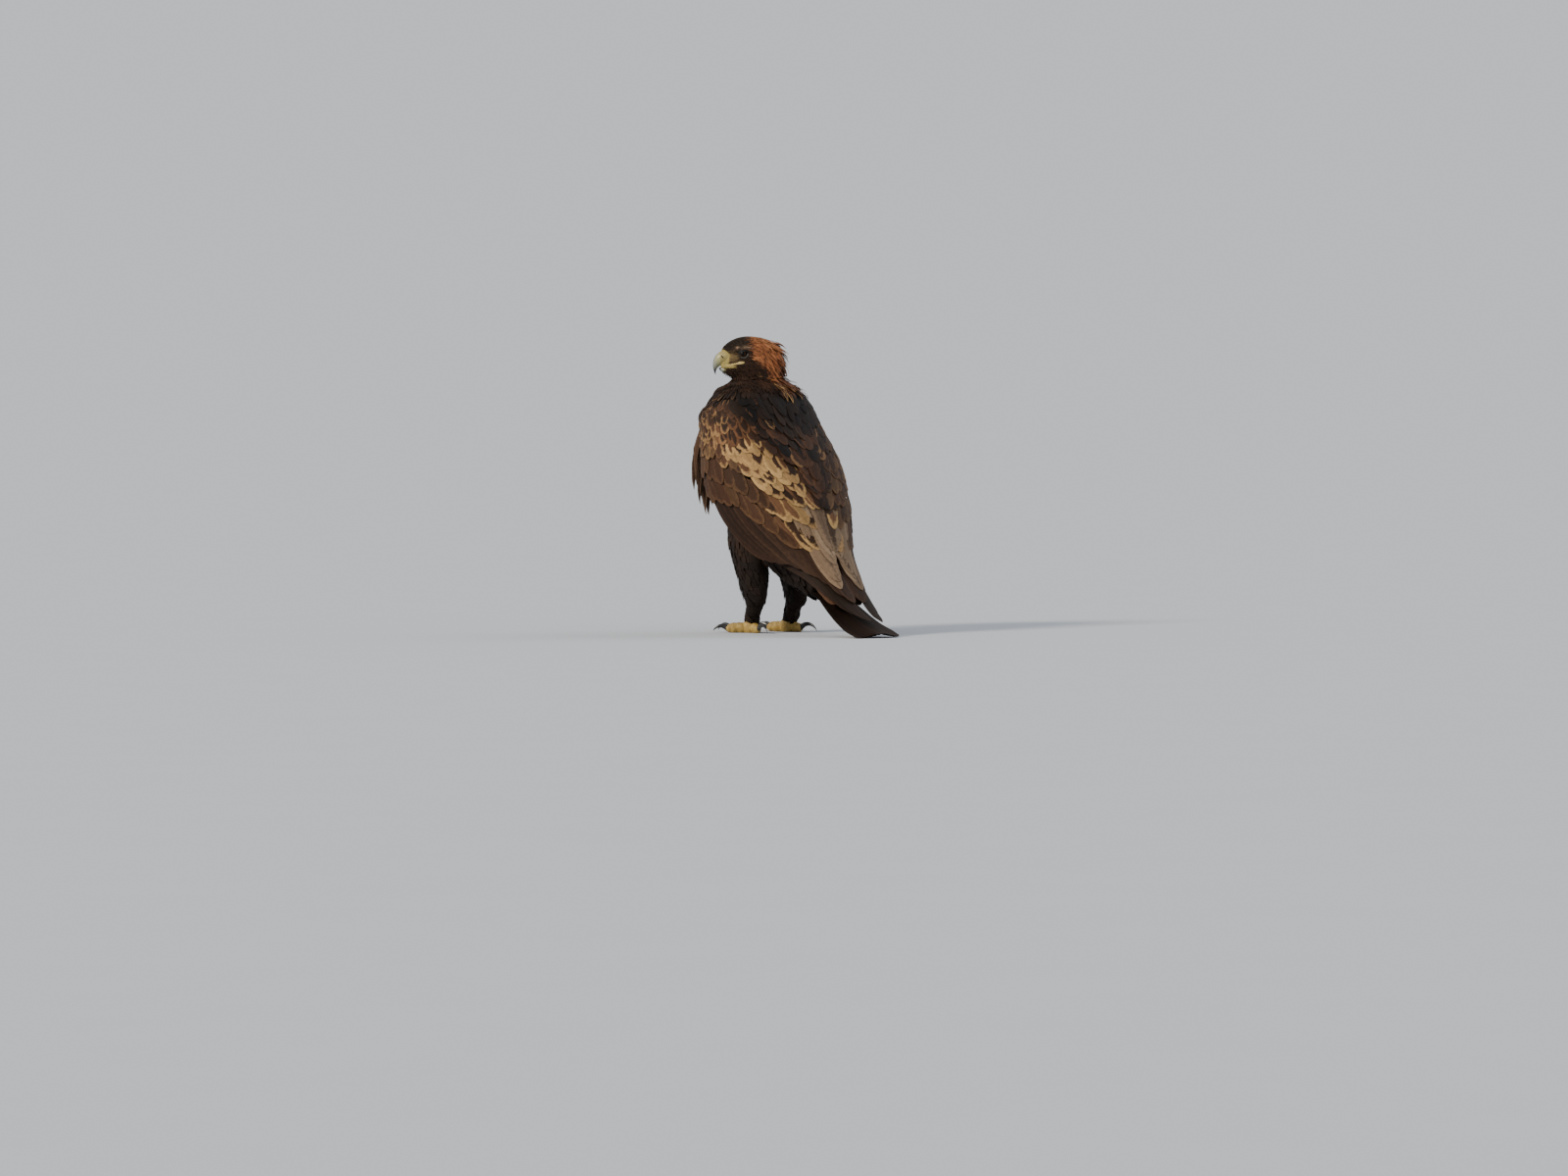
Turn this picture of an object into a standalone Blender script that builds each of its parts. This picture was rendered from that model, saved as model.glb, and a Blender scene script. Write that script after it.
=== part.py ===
"""A golden eagle at life size, standing with folded wings and its head turned to its left.

The bird faces -Y, its left side is +X and the floor is Z = 0. All sizes are metres.
"""

import math
import random

import bmesh
import bpy
import numpy as np
from mathutils import Matrix, Vector

# Driving sizes
HEAD_YAW = math.radians(52)
EYE_RADIUS = 0.0080
TRUNK_LENGTH = 0.400
TAIL_TIP_ALONG = 0.672
TROUSER_Z = 0.058
FOOT_X, FOOT_Y = 0.046, 0.000
MIDDLE_TOE_LENGTH = 0.066
TALON_LENGTH = 0.038
HIND_TALON_LENGTH = 0.048
GAP = 0.0004
VANE_THICKNESS = 0.0006
BODY_AROUND = 24

# The middle line of the trunk and tail, from the shoulders down to the tail's tip, with what surrounds it:
# y, z, trunk half width, back depth, belly depth, folded wings' half width, back depth, belly depth
STATIONS = [
    (-0.042, 0.495, 0.066, 0.048, 0.084, 0.070, 0.050, 0.088),
    (-0.034, 0.450, 0.092, 0.056, 0.117, 0.104, 0.066, 0.127),
    (-0.018, 0.400, 0.100, 0.068, 0.124, 0.118, 0.080, 0.132),
    (0.008, 0.320, 0.110, 0.088, 0.117, 0.140, 0.106, 0.122),
    (0.043, 0.240, 0.102, 0.093, 0.104, 0.136, 0.116, 0.112),
    (0.095, 0.163, 0.074, 0.074, 0.064, 0.112, 0.108, 0.080),
    (0.145, 0.117, 0.052, 0.044, 0.042, 0.088, 0.084, 0.065),
    (0.210, 0.074, 0.045, 0.024, 0.020, 0.070, 0.054, 0.050),
    (0.285, 0.029, 0.045, 0.014, 0.010, 0.060, 0.032, 0.030),
    (0.362, 0.0000, 0.045, 0.010, 0.008, 0.052, 0.022, 0.020),
]
SECTION_POWER = 2.25
TRUNK_START, TRUNK_END = 0.022, TRUNK_LENGTH

# The head, in its own frame: how far forward, crown, throat, half width
HEAD_STATIONS = [
    (-0.0545, 0.5400, 0.5150, 0.0100),
    (-0.0480, 0.5590, 0.4900, 0.0265),
    (-0.0300, 0.5725, 0.4780, 0.0365),
    (0.0000, 0.5790, 0.4760, 0.0395),
    (0.0200, 0.5796, 0.4800, 0.0372),
    (0.0380, 0.5760, 0.4950, 0.0305),
    (0.0520, 0.5690, 0.5040, 0.0230),
    (0.0640, 0.5590, 0.5095, 0.0162),
]
HEAD_CENTRE = Vector((0.0, -0.044, 0.0))
HEAD_CUT_Z = 0.498
BILL_START = 0.0620
EYE_FORWARD, EYE_SIDE, EYE_Z = 0.0235, 0.0262, 0.5455

# The bill: forward and height of its upper edge, forward and height of its lower edge, half width
UPPER_BILL = [
    (0.0500, 0.5550, 0.0500, 0.5225, 0.0160),
    (0.0640, 0.5522, 0.0620, 0.5215, 0.0142),
    (0.0735, 0.5474, 0.0690, 0.5210, 0.0118),
    (0.0800, 0.5398, 0.0730, 0.5195, 0.0092),
    (0.0834, 0.5300, 0.0755, 0.5165, 0.0064),
    (0.0836, 0.5205, 0.0770, 0.5125, 0.0040),
    (0.0818, 0.5118, 0.0780, 0.5082, 0.0021),
    (0.0788, 0.5050, 0.0780, 0.5046, 0.0008),
]
LOWER_BILL = [
    (0.0500, 0.5210, 0.0500, 0.5085, 0.0140),
    (0.0600, 0.5203, 0.0600, 0.5088, 0.0118),
    (0.0680, 0.5195, 0.0670, 0.5110, 0.0085),
    (0.0718, 0.5185, 0.0712, 0.5150, 0.0045),
]

# Each tier of a wing, from its back edge to its front edge. An edge gives where a vane's root and tip are
# along the body, then their angles round it in degrees. lifts are over the wing's surface near the root and
# at the tip, tilt is how far a vane leans over the next one, and step how far each lies below the one before
TIERS = {
    "primaries": {
        "count": 5,
        "back_edge": (0.330, 0.645, 48, 9),
        "front_edge": (0.275, 0.500, 102, 60),
        "half_widths": (0.019, 0.015),
        "lifts": (-0.0125, -0.002),
        "tilt": 0.0003,
        "step": 0.0014,
    },
    "secondaries": {
        "count": 8,
        "back_edge": (0.295, 0.575, 26, 9),
        "front_edge": (0.185, 0.400, 106, 84),
        "half_widths": (0.021, 0.019),
        "lifts": (-0.0095, -0.002),
        "tilt": 0.0021,
        "step": 0.0,
    },
    "greater_coverts": {
        "count": 7,
        "back_edge": (0.240, 0.450, 19, 9),
        "front_edge": (0.125, 0.290, 106, 93),
        "half_widths": (0.020, 0.018),
        "lifts": (-0.0050, 0.000),
        "tilt": 0.0014,
        "step": 0.0,
    },
    "median_coverts": {
        "count": 7,
        "back_edge": (0.175, 0.340, 18, 9),
        "front_edge": (0.080, 0.210, 108, 98),
        "half_widths": (0.017, 0.016),
        "lifts": (-0.0005, 0.004),
        "tilt": 0.0014,
        "step": 0.0,
    },
    "scapulars": {
        "count": 5,
        "back_edge": (0.100, 0.240, 13, 7),
        "front_edge": (0.060, 0.165, 62, 50),
        "half_widths": (0.017, 0.016),
        "lifts": (0.0030, 0.007),
        "tilt": 0.0013,
        "step": 0.0,
    },
}
PRIMARIES_RISE = (0.42, 0.64)
VANE_SHARES = (0.0, 0.32, 0.62, 0.86, 1.0)
VANE_WIDTHS = (0.62, 1.0, 1.0, 0.80, 0.22)
LANCE_SHARES = (0.0, 0.40, 0.75, 1.0)
LANCE_WIDTHS = (0.75, 1.0, 0.62, 0.12)
TAIL_WIDTHS = (0.45, 0.85, 1.0, 0.92, 0.45)
TAIL_STEP = 0.00085
FLOOR_CLEARANCE = 0.00024
ROOT_SINK = 0.010
VANE_KNOT = 0.090
TIP_SCATTER = 0.004
FRAME_STEP = 0.004
MIDLINE_GAP = 0.0004
SMOOTH_ANGLE = math.radians(38)

# The feathers of each flank: the first one's root, along the body and round it, and the step to the next
FLANK_COUNT = 6
FLANK_ROOT = (0.058, 133)
FLANK_STEP = (0.017, 4.0)
FLANK_LENGTH = 0.135
MANTLE_ANGLES = (-12, 0, 12)
HACKLE_ROWS = ((0.566, 4, 50), (0.547, 5, 60), (0.528, 6, 68))
THIGH_ROWS = ((0.108, 5), (0.086, 6))
CERE_SHARE = 1.75

COLOURS = {
    "plumage_dark": (0.045, 0.026, 0.017, 0.75),
    "plumage_brown": (0.130, 0.070, 0.038, 0.75),
    "plumage_gold": (0.360, 0.140, 0.045, 0.75),
    "cere_yellow": (0.700, 0.560, 0.170, 0.45),
    "bill_horn": (0.110, 0.120, 0.130, 0.35),
    "eye_brown": (0.060, 0.028, 0.010, 0.08),
    "foot_yellow": (0.720, 0.520, 0.110, 0.50),
    "talon_black": (0.018, 0.018, 0.020, 0.25),
}


class Curve:
    """A smooth curve through hand-set knots."""

    def __init__(self, at, values):
        self.at = np.array(at, float)
        self.values = np.array(values, float)
        self.slopes = np.gradient(self.values, self.at, axis=0)

    def __call__(self, where):
        where = min(max(where, self.at[0]), self.at[-1])
        i = int(min(np.searchsorted(self.at, where, side="right") - 1, len(self.at) - 2))
        span = self.at[i + 1] - self.at[i]
        t = (where - self.at[i]) / span
        start, end = self.values[i], self.values[i + 1]
        out, back = self.slopes[i] * span, self.slopes[i + 1] * span
        return (
            (2 * t**3 - 3 * t**2 + 1) * start
            + (t**3 - 2 * t**2 + t) * out
            + (3 * t**2 - 2 * t**3) * end
            + (t**3 - t**2) * back
        )


def ease(value, low, high):
    """0 up to low, 1 from high on, and smooth between."""
    t = min(max((value - low) / (high - low), 0.0), 1.0)
    return t * t * (3 - 2 * t)


def mix(a, b, t):
    """a where t is 0 and b where t is 1."""
    return a + (b - a) * t


def body_curve():
    """The stations as a curve over the distance along the middle line."""
    points = np.array([row[:2] for row in STATIONS])
    steps = np.linalg.norm(np.diff(points, axis=0), axis=1)
    return Curve(np.concatenate([[0], np.cumsum(steps)]), STATIONS)


BODY = body_curve()
VANE_OUTLINE = Curve(VANE_SHARES, [[width] for width in VANE_WIDTHS])


def body_frame(along):
    """The middle of the body there, the way down it, and the way out to its back."""
    here, near, far = BODY(along), BODY(along - FRAME_STEP), BODY(along + FRAME_STEP)
    down = Vector((0, far[0] - near[0], far[1] - near[1])).normalized()
    return Vector((0, here[0], here[1])), down, Vector((0, -down.z, down.y))


def way_out(side, up, half, deep, back):
    """The way out of a section, from shares of its half width and of its depth."""
    power = SECTION_POWER - 1
    sideways = math.copysign(abs(side) ** power, side) / half
    return (Vector((sideways, 0, 0)) + back * (math.copysign(abs(up) ** power, up) / deep)).normalized()


def surface(along, angle, wings=False, lift=0.0):
    """A point of the trunk or folded wings, and the way out. Angle 0 is the back, 90 the left side."""
    centre, _, back = body_frame(along)
    half, deep_back, deep_belly = BODY(along)[5:8] if wings else BODY(along)[2:5]
    turn = math.radians(angle)
    sine, cosine = math.sin(turn), math.cos(turn)
    deep = deep_back if cosine > 0 else deep_belly
    side = math.copysign(abs(sine) ** (2 / SECTION_POWER), sine)
    up = math.copysign(abs(cosine) ** (2 / SECTION_POWER), cosine)
    out = way_out(side, up, half, deep, back)
    point = centre + Vector((half * side, 0, 0)) + back * (deep * up)
    return point + out * lift, out


def onto_surface(point, wings, lift, along):
    """The point of the surface, at a lift, below one that lies near it, and the way out of it."""
    for _ in range(3):
        centre, down, back = body_frame(along)
        along += (point - centre).dot(down)
    centre, down, back = body_frame(along)
    half, deep_back, deep_belly = BODY(along)[5:8] if wings else BODY(along)[2:5]
    sideways, up = point.x, (point - centre).dot(back)
    deep = deep_back if up > 0 else deep_belly
    size = abs(sideways / half) ** SECTION_POWER + abs(up / deep) ** SECTION_POWER
    size = size ** (1 / SECTION_POWER)
    out = way_out(sideways / half / size, up / deep / size, half, deep, back)
    return centre + Vector((sideways / size, 0, 0)) + back * (up / size) + out * lift, out


def material(name):
    found = bpy.data.materials.get(name)
    if found:
        return found
    made = bpy.data.materials.new(name)
    made.use_nodes = True
    red, green, blue, roughness = COLOURS[name]
    shader = made.node_tree.nodes["Principled BSDF"]
    shader.inputs["Base Color"].default_value = (red, green, blue, 1)
    shader.inputs["Roughness"].default_value = roughness
    shader.inputs["Metallic"].default_value = 0.0
    return made


def new_object(name, vertices, faces, finish):
    """A mesh object with its faces turned outwards."""
    mesh = bpy.data.meshes.new(name)
    mesh.from_pydata([tuple(v) for v in vertices], [], faces)
    made = bpy.data.objects.new(name, mesh)
    bpy.context.scene.collection.objects.link(made)
    work = bmesh.new()
    work.from_mesh(mesh)
    bmesh.ops.recalc_face_normals(work, faces=work.faces)
    work.to_mesh(mesh)
    work.free()
    made.data.materials.append(material(finish))
    return made


def loft(name, rings, finish):
    """A closed body through rings of equal point counts, with flat ends."""
    count = len(rings[0])
    vertices = [p for ring in rings for p in ring]
    faces = []
    for i in range(len(rings) - 1):
        for j in range(count):
            a, b = i * count + j, i * count + (j + 1) % count
            faces += [(a, b, b + count), (a, b + count, a + count)]
    faces.append(tuple(reversed(range(count))))
    faces.append(tuple(range((len(rings) - 1) * count, len(rings) * count)))
    return new_object(name, vertices, faces, finish)


def applied(target):
    """Bakes an object's modifiers into its mesh."""
    graph = bpy.context.evaluated_depsgraph_get()
    baked = bpy.data.meshes.new_from_object(target.evaluated_get(graph))
    target.modifiers.clear()
    target.data = baked
    return target


def keep_largest(target):
    """Leaves only the largest closed surface of a mesh."""
    work = bmesh.new()
    work.from_mesh(target.data)
    left, parts = set(work.verts), []
    while left:
        todo, part = [left.pop()], set()
        while todo:
            vertex = todo.pop()
            part.add(vertex)
            for edge in vertex.link_edges:
                other = edge.other_vert(vertex)
                if other in left:
                    left.remove(other)
                    todo.append(other)
        parts.append(part)
    parts.sort(key=len)
    for part in parts[:-1]:
        bmesh.ops.delete(work, geom=list(part), context="VERTS")
    work.to_mesh(target.data)
    work.free()
    return target


def combine(target, others, operation):
    """Joins or cuts target with closed mesh objects, which are then removed."""
    group = bpy.data.collections.new("work_pieces")
    bpy.context.scene.collection.children.link(group)
    for other in others:
        group.objects.link(other)
    change = target.modifiers.new("combine", "BOOLEAN")
    change.operand_type = "COLLECTION"
    change.collection = group
    change.operation = operation
    change.solver = "MANIFOLD"
    applied(target)
    for other in others:
        bpy.data.objects.remove(other)
    bpy.data.collections.remove(group)
    return keep_largest(target)


def join(target, others):
    return combine(target, others, "UNION")


def cut(target, others):
    return combine(target, others, "DIFFERENCE")


def box(low, high):
    bpy.ops.mesh.primitive_cube_add(size=1)
    made = bpy.context.object
    low, high = Vector(low), Vector(high)
    spread = high - low
    made.data.transform(Matrix.Translation((low + high) / 2) @ Matrix.Diagonal((*spread, 1)))
    return made


def ball(name, centre, sizes, finish, turn=None, segments=16):
    """An ellipsoid from a primitive sphere, turned about the vertical."""
    bpy.ops.mesh.primitive_uv_sphere_add(segments=segments, ring_count=segments // 2 + 1, radius=1)
    made = bpy.context.object
    made.name = name
    place = Matrix.Translation(centre) @ (turn or Matrix.Identity(4)) @ Matrix.Diagonal((*sizes, 1))
    made.data.transform(place)
    made.data.materials.append(material(finish))
    return made


def vane(lines, thickness, finish):
    """A thin closed blade through two or three lines of points, each with its way out. It is split into
    triangles alike on both faces."""
    count, wide = len(lines[0]), len(lines)
    vertices = []
    for i in range(count):
        half = thickness * mix(1.0, 0.7, i / (count - 1)) / 2
        vertices += [line[i][0] + line[i][1] * half for line in lines]
        vertices += [line[i][0] - line[i][1] * half for line in lines]
    faces = []
    for i in range(count - 1):
        a, b = i * wide * 2, (i + 1) * wide * 2
        for k in range(wide - 1):
            faces += [(a + k, a + k + 1, b + k + 1), (a + k, b + k + 1, b + k)]
            c, d = a + k + wide, b + k + wide
            faces += [(c, d + 1, c + 1), (c, d, d + 1)]
        for k in (0, wide - 1):
            faces += [(a + k, b + k, b + k + wide), (a + k, b + k + wide, a + k + wide)]
    last = (count - 1) * wide * 2
    for k in range(wide - 1):
        faces += [(k, k + wide, k + 1 + wide), (k, k + 1 + wide, k + 1)]
        tip = last + k
        faces += [(tip, tip + 1 + wide, tip + wide), (tip, tip + 1, tip + 1 + wide)]
    return new_object("vane", vertices, faces, finish)


def feather(spots, outs, half_width, tilt, finish, widths=VANE_WIDTHS, thickness=VANE_THICKNESS):
    """A tapered flat vane. spots are its middle line and outs the way out of what it lies on."""
    count = len(spots)
    lefts, rights = [], []
    for i in range(count):
        ahead = spots[min(i + 1, count - 1)] - spots[max(i - 1, 0)]
        across = outs[i].cross(ahead).normalized() * (half_width * widths[i]) + outs[i] * (tilt * widths[i])
        lefts.append((spots[i] + across, outs[i]))
        rights.append((spots[i] - across, outs[i]))
    return vane((lefts, rights), thickness, finish)


def lying_feather(root, tip, half_width, lifts, tilt, finish, side=1, wings=True, rises=None):
    """A vane that follows the body's surface. root and tip are (along, angle). It rises from the first lift
    to the second over its outer half, or between the two distances along the body in rises. All vanes have
    their sections at the same distances along the body, so that neighbours keep their space."""
    start, end = root[0], tip[0]
    places = [start, start + 0.012, end - 0.022, end]
    knot = math.ceil((start + 0.03) / VANE_KNOT) * VANE_KNOT
    while knot < end - 0.040:
        places.insert(-2, knot)
        knot += VANE_KNOT
    spots, outs = [], []
    for along in places:
        share = (along - start) / (end - start)
        angle = mix(root[1], tip[1], share)
        risen = ease(along, *rises) if rises else ease(share, 0.35, 1.0)
        lift = mix(*lifts, risen) - ROOT_SINK * (share == 0.0)
        point, out = surface(along, angle * side, wings, lift)
        spots.append((point, lift, along, float(VANE_OUTLINE(share)[0])))
        outs.append(out)
    count = len(spots)
    lefts, middles, rights = [], [], []
    for i, (point, lift, along, width) in enumerate(spots):
        ahead = spots[min(i + 1, count - 1)][0] - spots[max(i - 1, 0)][0]
        across = outs[i].cross(ahead).normalized() * (half_width * width)
        rise = tilt * side * width
        lefts.append(onto_surface(point + across, wings, lift + rise, along))
        middles.append((point, outs[i]))
        rights.append(onto_surface(point - across, wings, lift - rise, along))
    return vane((lefts, middles, rights), VANE_THICKNESS, finish)


def trunk_rings(start, end, count, grow=0.0):
    rings = []
    for i in range(count):
        along = mix(start, end, i / (count - 1))
        rings.append([surface(along, 360 * j / BODY_AROUND, False, grow)[0] for j in range(BODY_AROUND)])
    return rings


def inflated_trunk():
    """The trunk, a gap larger all round and longer at both ends, to cut what lies on it."""
    rings = trunk_rings(TRUNK_START, TRUNK_END, 15, GAP)
    _, down_first, _ = body_frame(TRUNK_START)
    _, down_last, _ = body_frame(TRUNK_END)
    before = [p - down_first * 0.010 for p in rings[0]]
    after = [p + down_last * (0.060 * share) for share in (0.5, 1.0) for p in rings[-1]]
    rings = [before] + rings + [after[:BODY_AROUND], after[BODY_AROUND:]]
    return loft("trunk_cutter", rings, "plumage_dark")


def hang_lance(root, out, fall, half_width, sink, stand, finish):
    """A lance-shaped feather that hangs from a root sunk below the surface."""
    spots = [root + fall * share + out * mix(-sink, stand, ease(share, 0, 0.6)) for share in LANCE_SHARES]
    return feather(spots, [out] * len(spots), half_width, 0.0004, finish, LANCE_WIDTHS)


def flank_feathers(side):
    """Long feathers of the breast's side, which hang clear of the belly."""
    vanes = []
    for i in range(FLANK_COUNT):
        along, angle = (first + step * i for first, step in zip(FLANK_ROOT, FLANK_STEP))
        root, out = surface(along, side * angle)
        length = FLANK_LENGTH - 0.006 * i - 0.010 * (i % 2)
        spread = (0.008 - 0.0015 * i) * (1.0 if side > 0 else 0.3)
        fall = Vector((side * spread * 0.79, -spread * 0.62, -length))
        level = Vector((out.x, out.y, 0)).normalized()
        stand = (0.020 - 0.003 * (i % 2)) * (1.0 if side > 0 else 0.6)
        vanes.append(hang_lance(root, level, fall, 0.0125, 0.010, stand, "plumage_brown"))
    return vanes


def mantle_feathers():
    """The feathers of the back, between the wings."""
    vanes = []
    for angle in MANTLE_ANGLES:
        root, tip = (0.030, angle), (0.088 + 0.006 * (angle == 0), angle * 0.35)
        vanes.append(lying_feather(root, tip, 0.0105, (0.0012, 0.0050), 0.0006, "plumage_dark", 1, False))
    return vanes


def torso():
    """The trunk with its flank feathers and the mantle between the wings."""
    made = loft("torso", trunk_rings(TRUNK_START, TRUNK_END, 15), "plumage_brown")
    return join(made, flank_feathers(1) + flank_feathers(-1) + mantle_feathers())


def head_axes():
    """The ways forward and left of the turned head."""
    forward = Vector((math.sin(HEAD_YAW), -math.cos(HEAD_YAW), 0))
    return forward, Vector((forward.y * -1, forward.x, 0))


def head_point(forward, side, height):
    """A point given by how far forward and left it is of the head's middle, and its height."""
    ahead, left = head_axes()
    return HEAD_CENTRE + ahead * forward + left * side + Vector((0, 0, height))


HEAD = Curve([row[0] for row in HEAD_STATIONS], HEAD_STATIONS)


def head_surface(forward, angle, lift=0.0):
    """A point of the head. Angle 0 is the crown, 90 its left cheek."""
    _, crown, throat, half = HEAD(forward)
    middle, tall = (crown + throat) / 2, (crown - throat) / 2
    turn = math.radians(angle)
    power = 2 / 2.35
    side = math.copysign(abs(math.sin(turn)) ** power, math.sin(turn))
    up = math.copysign(abs(math.cos(turn)) ** power, math.cos(turn))
    return head_point(forward, (half + lift) * side, middle + (tall + lift) * up)


def eye_ball(name, side, grow=0.0, segments=14):
    centre = head_point(EYE_FORWARD, side * EYE_SIDE, EYE_Z)
    radius = EYE_RADIUS + grow
    return ball(name, centre, (radius, radius, radius), "eye_brown", segments=segments)


def hackles():
    """The lance-shaped feathers of the nape. The lowest end where the neck begins."""
    vanes = []
    dice = random.Random(7)
    ahead, left = head_axes()
    for row, (height, count, reach) in enumerate(HACKLE_ROWS):
        for i in range(count):
            turn = math.radians(mix(-reach, reach, i / (count - 1)) + dice.uniform(-3, 3))
            away = ahead * -math.cos(turn) + left * math.sin(turn)
            forward = -0.016 - 0.030 * math.cos(turn) * (1 - 0.25 * (row == 0))
            root = head_point(forward, 0.030 * math.sin(turn) * (0.85 + 0.1 * row), height)
            length = min(0.038 + 0.004 * dice.random(), height - HEAD_CUT_Z - 0.001 * dice.random())
            out = (away + Vector((0, 0, 0.35))).normalized()
            fall = away * 0.007 - Vector((0, 0, length))
            vanes.append(hang_lance(root, out, fall, 0.0085, 0.004, 0.006 - 0.001 * row, "plumage_gold"))
    return vanes


def head():
    """The head with brows, lids, the mouth's edge, eye sockets and hackles."""
    rings, count, around = [], 13, 18
    for i in range(count):
        forward = mix(HEAD_STATIONS[0][0], BILL_START, (i / (count - 1)) ** 0.92)
        rings.append([head_surface(forward, 360 * j / around) for j in range(around)])
    made = loft("head", rings, "plumage_gold")
    turn = Matrix.Rotation(math.atan2(-math.cos(HEAD_YAW), math.sin(HEAD_YAW)), 4, "Z")
    added = []
    for side in (1, -1):
        brow = head_point(0.0290, side * 0.0283, 0.5565)
        tilt = Matrix.Rotation(side * math.radians(-16), 4, "Z")
        tilt = tilt @ Matrix.Rotation(math.radians(9), 4, "Y")
        added.append(ball("brow", brow, (0.0195, 0.0046, 0.0036), "plumage_gold", turn @ tilt, 8))
        added.append(gape_lip(side))
        added.append(lids(side))
    join(made, added)
    under = box((-0.3, -0.3, 0.3), (0.3, 0.3, HEAD_CUT_Z))
    cut(made, [eye_ball("eye_cutter", 1, GAP), eye_ball("eye_cutter", -1, GAP), under])
    return join(made, hackles())


def lids(side):
    """A ring of bare skin round the eye."""
    bpy.ops.mesh.primitive_torus_add(
        major_radius=0.0072, minor_radius=0.0014, major_segments=14, minor_segments=5
    )
    made = bpy.context.object
    _, left = head_axes()
    out = (left * side + Vector((0, 0, 0.02))).normalized()
    centre = head_point(EYE_FORWARD, side * (EYE_SIDE + 0.0035), EYE_Z)
    made.data.transform(Matrix.Translation(centre) @ out.to_track_quat("Z", "Y").to_matrix().to_4x4())
    made.data.materials.append(material("plumage_dark"))
    return made


def gape_lip(side):
    """The fleshy edge of the mouth, from the bill's root back to below the eye."""
    rings = []
    for i in range(5):
        share = i / 4
        forward = mix(BILL_START - 0.001, 0.0230, share)
        height = mix(0.5215, 0.5262, share)
        half = HEAD(forward)[3]
        middle = (HEAD(forward)[1] + HEAD(forward)[2]) / 2
        tall = (HEAD(forward)[1] - HEAD(forward)[2]) / 2
        level = min(abs(height - middle) / tall, 0.95)
        width = half * (1 - level**2.35) ** (1 / 2.35)
        radius = mix(0.0026, 0.0012, share)
        ring = []
        for j in range(6):
            turn = math.tau * j / 6
            outwards = width - 0.0004 + radius * math.cos(turn)
            ring.append(head_point(forward, side * outwards, height + radius * math.sin(turn)))
        rings.append(ring)
    return loft("gape", rings, "cere_yellow")


def bill_rings(profile, start, end, count, around=12, flat_below=True):
    """Rings of the bill between two shares of its length."""
    curve = Curve(range(len(profile)), profile)
    rings = []
    for i in range(count):
        top_x, top_z, low_x, low_z, half = curve(mix(start, end, i / (count - 1)))
        ring = []
        for j in range(around):
            turn = math.tau * (j + 0.5) / around
            height = (1 + math.cos(turn)) / 2
            if flat_below:
                height = max(height, 0.02) ** 0.8
            side = math.sin(turn) * half * (1 if flat_below else 0.95)
            ring.append(head_point(mix(low_x, top_x, height), side, mix(low_z, top_z, height)))
        rings.append(ring)
    return rings


def behind_plane(name, forward):
    """A block that holds everything of the head up to a distance forward, to cut at a plane."""
    corners = [(-0.06, 0.44), (0.06, 0.44), (0.06, 0.64), (-0.06, 0.64)]
    rings = [[head_point(x, side, z) for side, z in corners] for x in (-0.06, forward)]
    return loft(name, rings, "plumage_dark")


def bill():
    """The cere with its nostrils, the horn of the upper bill and the lower bill."""
    cere = loft("cere", bill_rings(UPPER_BILL, 0, CERE_SHARE, 4, 12), "cere_yellow")
    nostrils = []
    ahead, left = head_axes()
    axis = Matrix((ahead, left, Vector((0, 0, 1)))).transposed().to_4x4()
    for side in (1, -1):
        slant = axis @ Matrix.Rotation(math.radians(-55), 4, "Y")
        spot = head_point(0.0668, side * 0.0136, 0.5400)
        nostrils.append(ball("nostril", spot, (0.0042, 0.0030, 0.0016), "plumage_dark", slant, 10))
    cut(cere, nostrils + [behind_plane("face_cutter", BILL_START + GAP)])
    loft("bill_upper", bill_rings(UPPER_BILL, CERE_SHARE + 0.035, 7, 10, 12), "bill_horn")
    lower = loft("bill_lower", bill_rings(LOWER_BILL, 0, 3, 5, 10, False), "bill_horn")
    cut(lower, [behind_plane("face_cutter", BILL_START + GAP)])


def neck():
    """From the head's flat underside to the trunk's upper end."""
    _, down, _ = body_frame(TRUNK_START)
    lower = [p - down * GAP for p in trunk_rings(TRUNK_START, TRUNK_END, 2)[0]]
    rings = []
    steps = 5
    for i in range(steps):
        share = i / (steps - 1)
        ring = []
        for j in range(BODY_AROUND):
            # Angle 0 is the nape above and the back below
            turn = math.tau * j / BODY_AROUND
            top = head_point(-0.0052 - 0.0500 * math.cos(turn), 0.0385 * math.sin(turn), HEAD_CUT_Z - GAP)
            ring.append(top.lerp(lower[j], share))
        if 0 < share < 1:
            middle = sum(ring, Vector()) / BODY_AROUND
            ring = [p + (p - middle).normalized() * (0.009 * math.sin(math.pi * share)) for p in ring]
        rings.append(ring)
    loft("neck", rings, "plumage_gold")


def tier_feathers(name, side, dice):
    """One tier of overlapping vanes of a wing."""
    tier = TIERS[name]
    vanes = []
    for i in range(tier["count"]):
        share = i / (tier["count"] - 1)
        edges = zip(tier["back_edge"], tier["front_edge"])
        root_along, tip_along, root_angle, tip_angle = (mix(back, front, share) for back, front in edges)
        tip_along += dice.uniform(-TIP_SCATTER, TIP_SCATTER)
        root, tip = (root_along, root_angle), (tip_along, tip_angle)
        lifts = [lift - tier["step"] * i for lift in tier["lifts"]]
        rises = PRIMARIES_RISE if name == "primaries" else None
        half_width = mix(*tier["half_widths"], share)
        vanes.append(
            lying_feather(root, tip, half_width, lifts, tier["tilt"], "plumage_brown", side, True, rises)
        )
    return vanes


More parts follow.
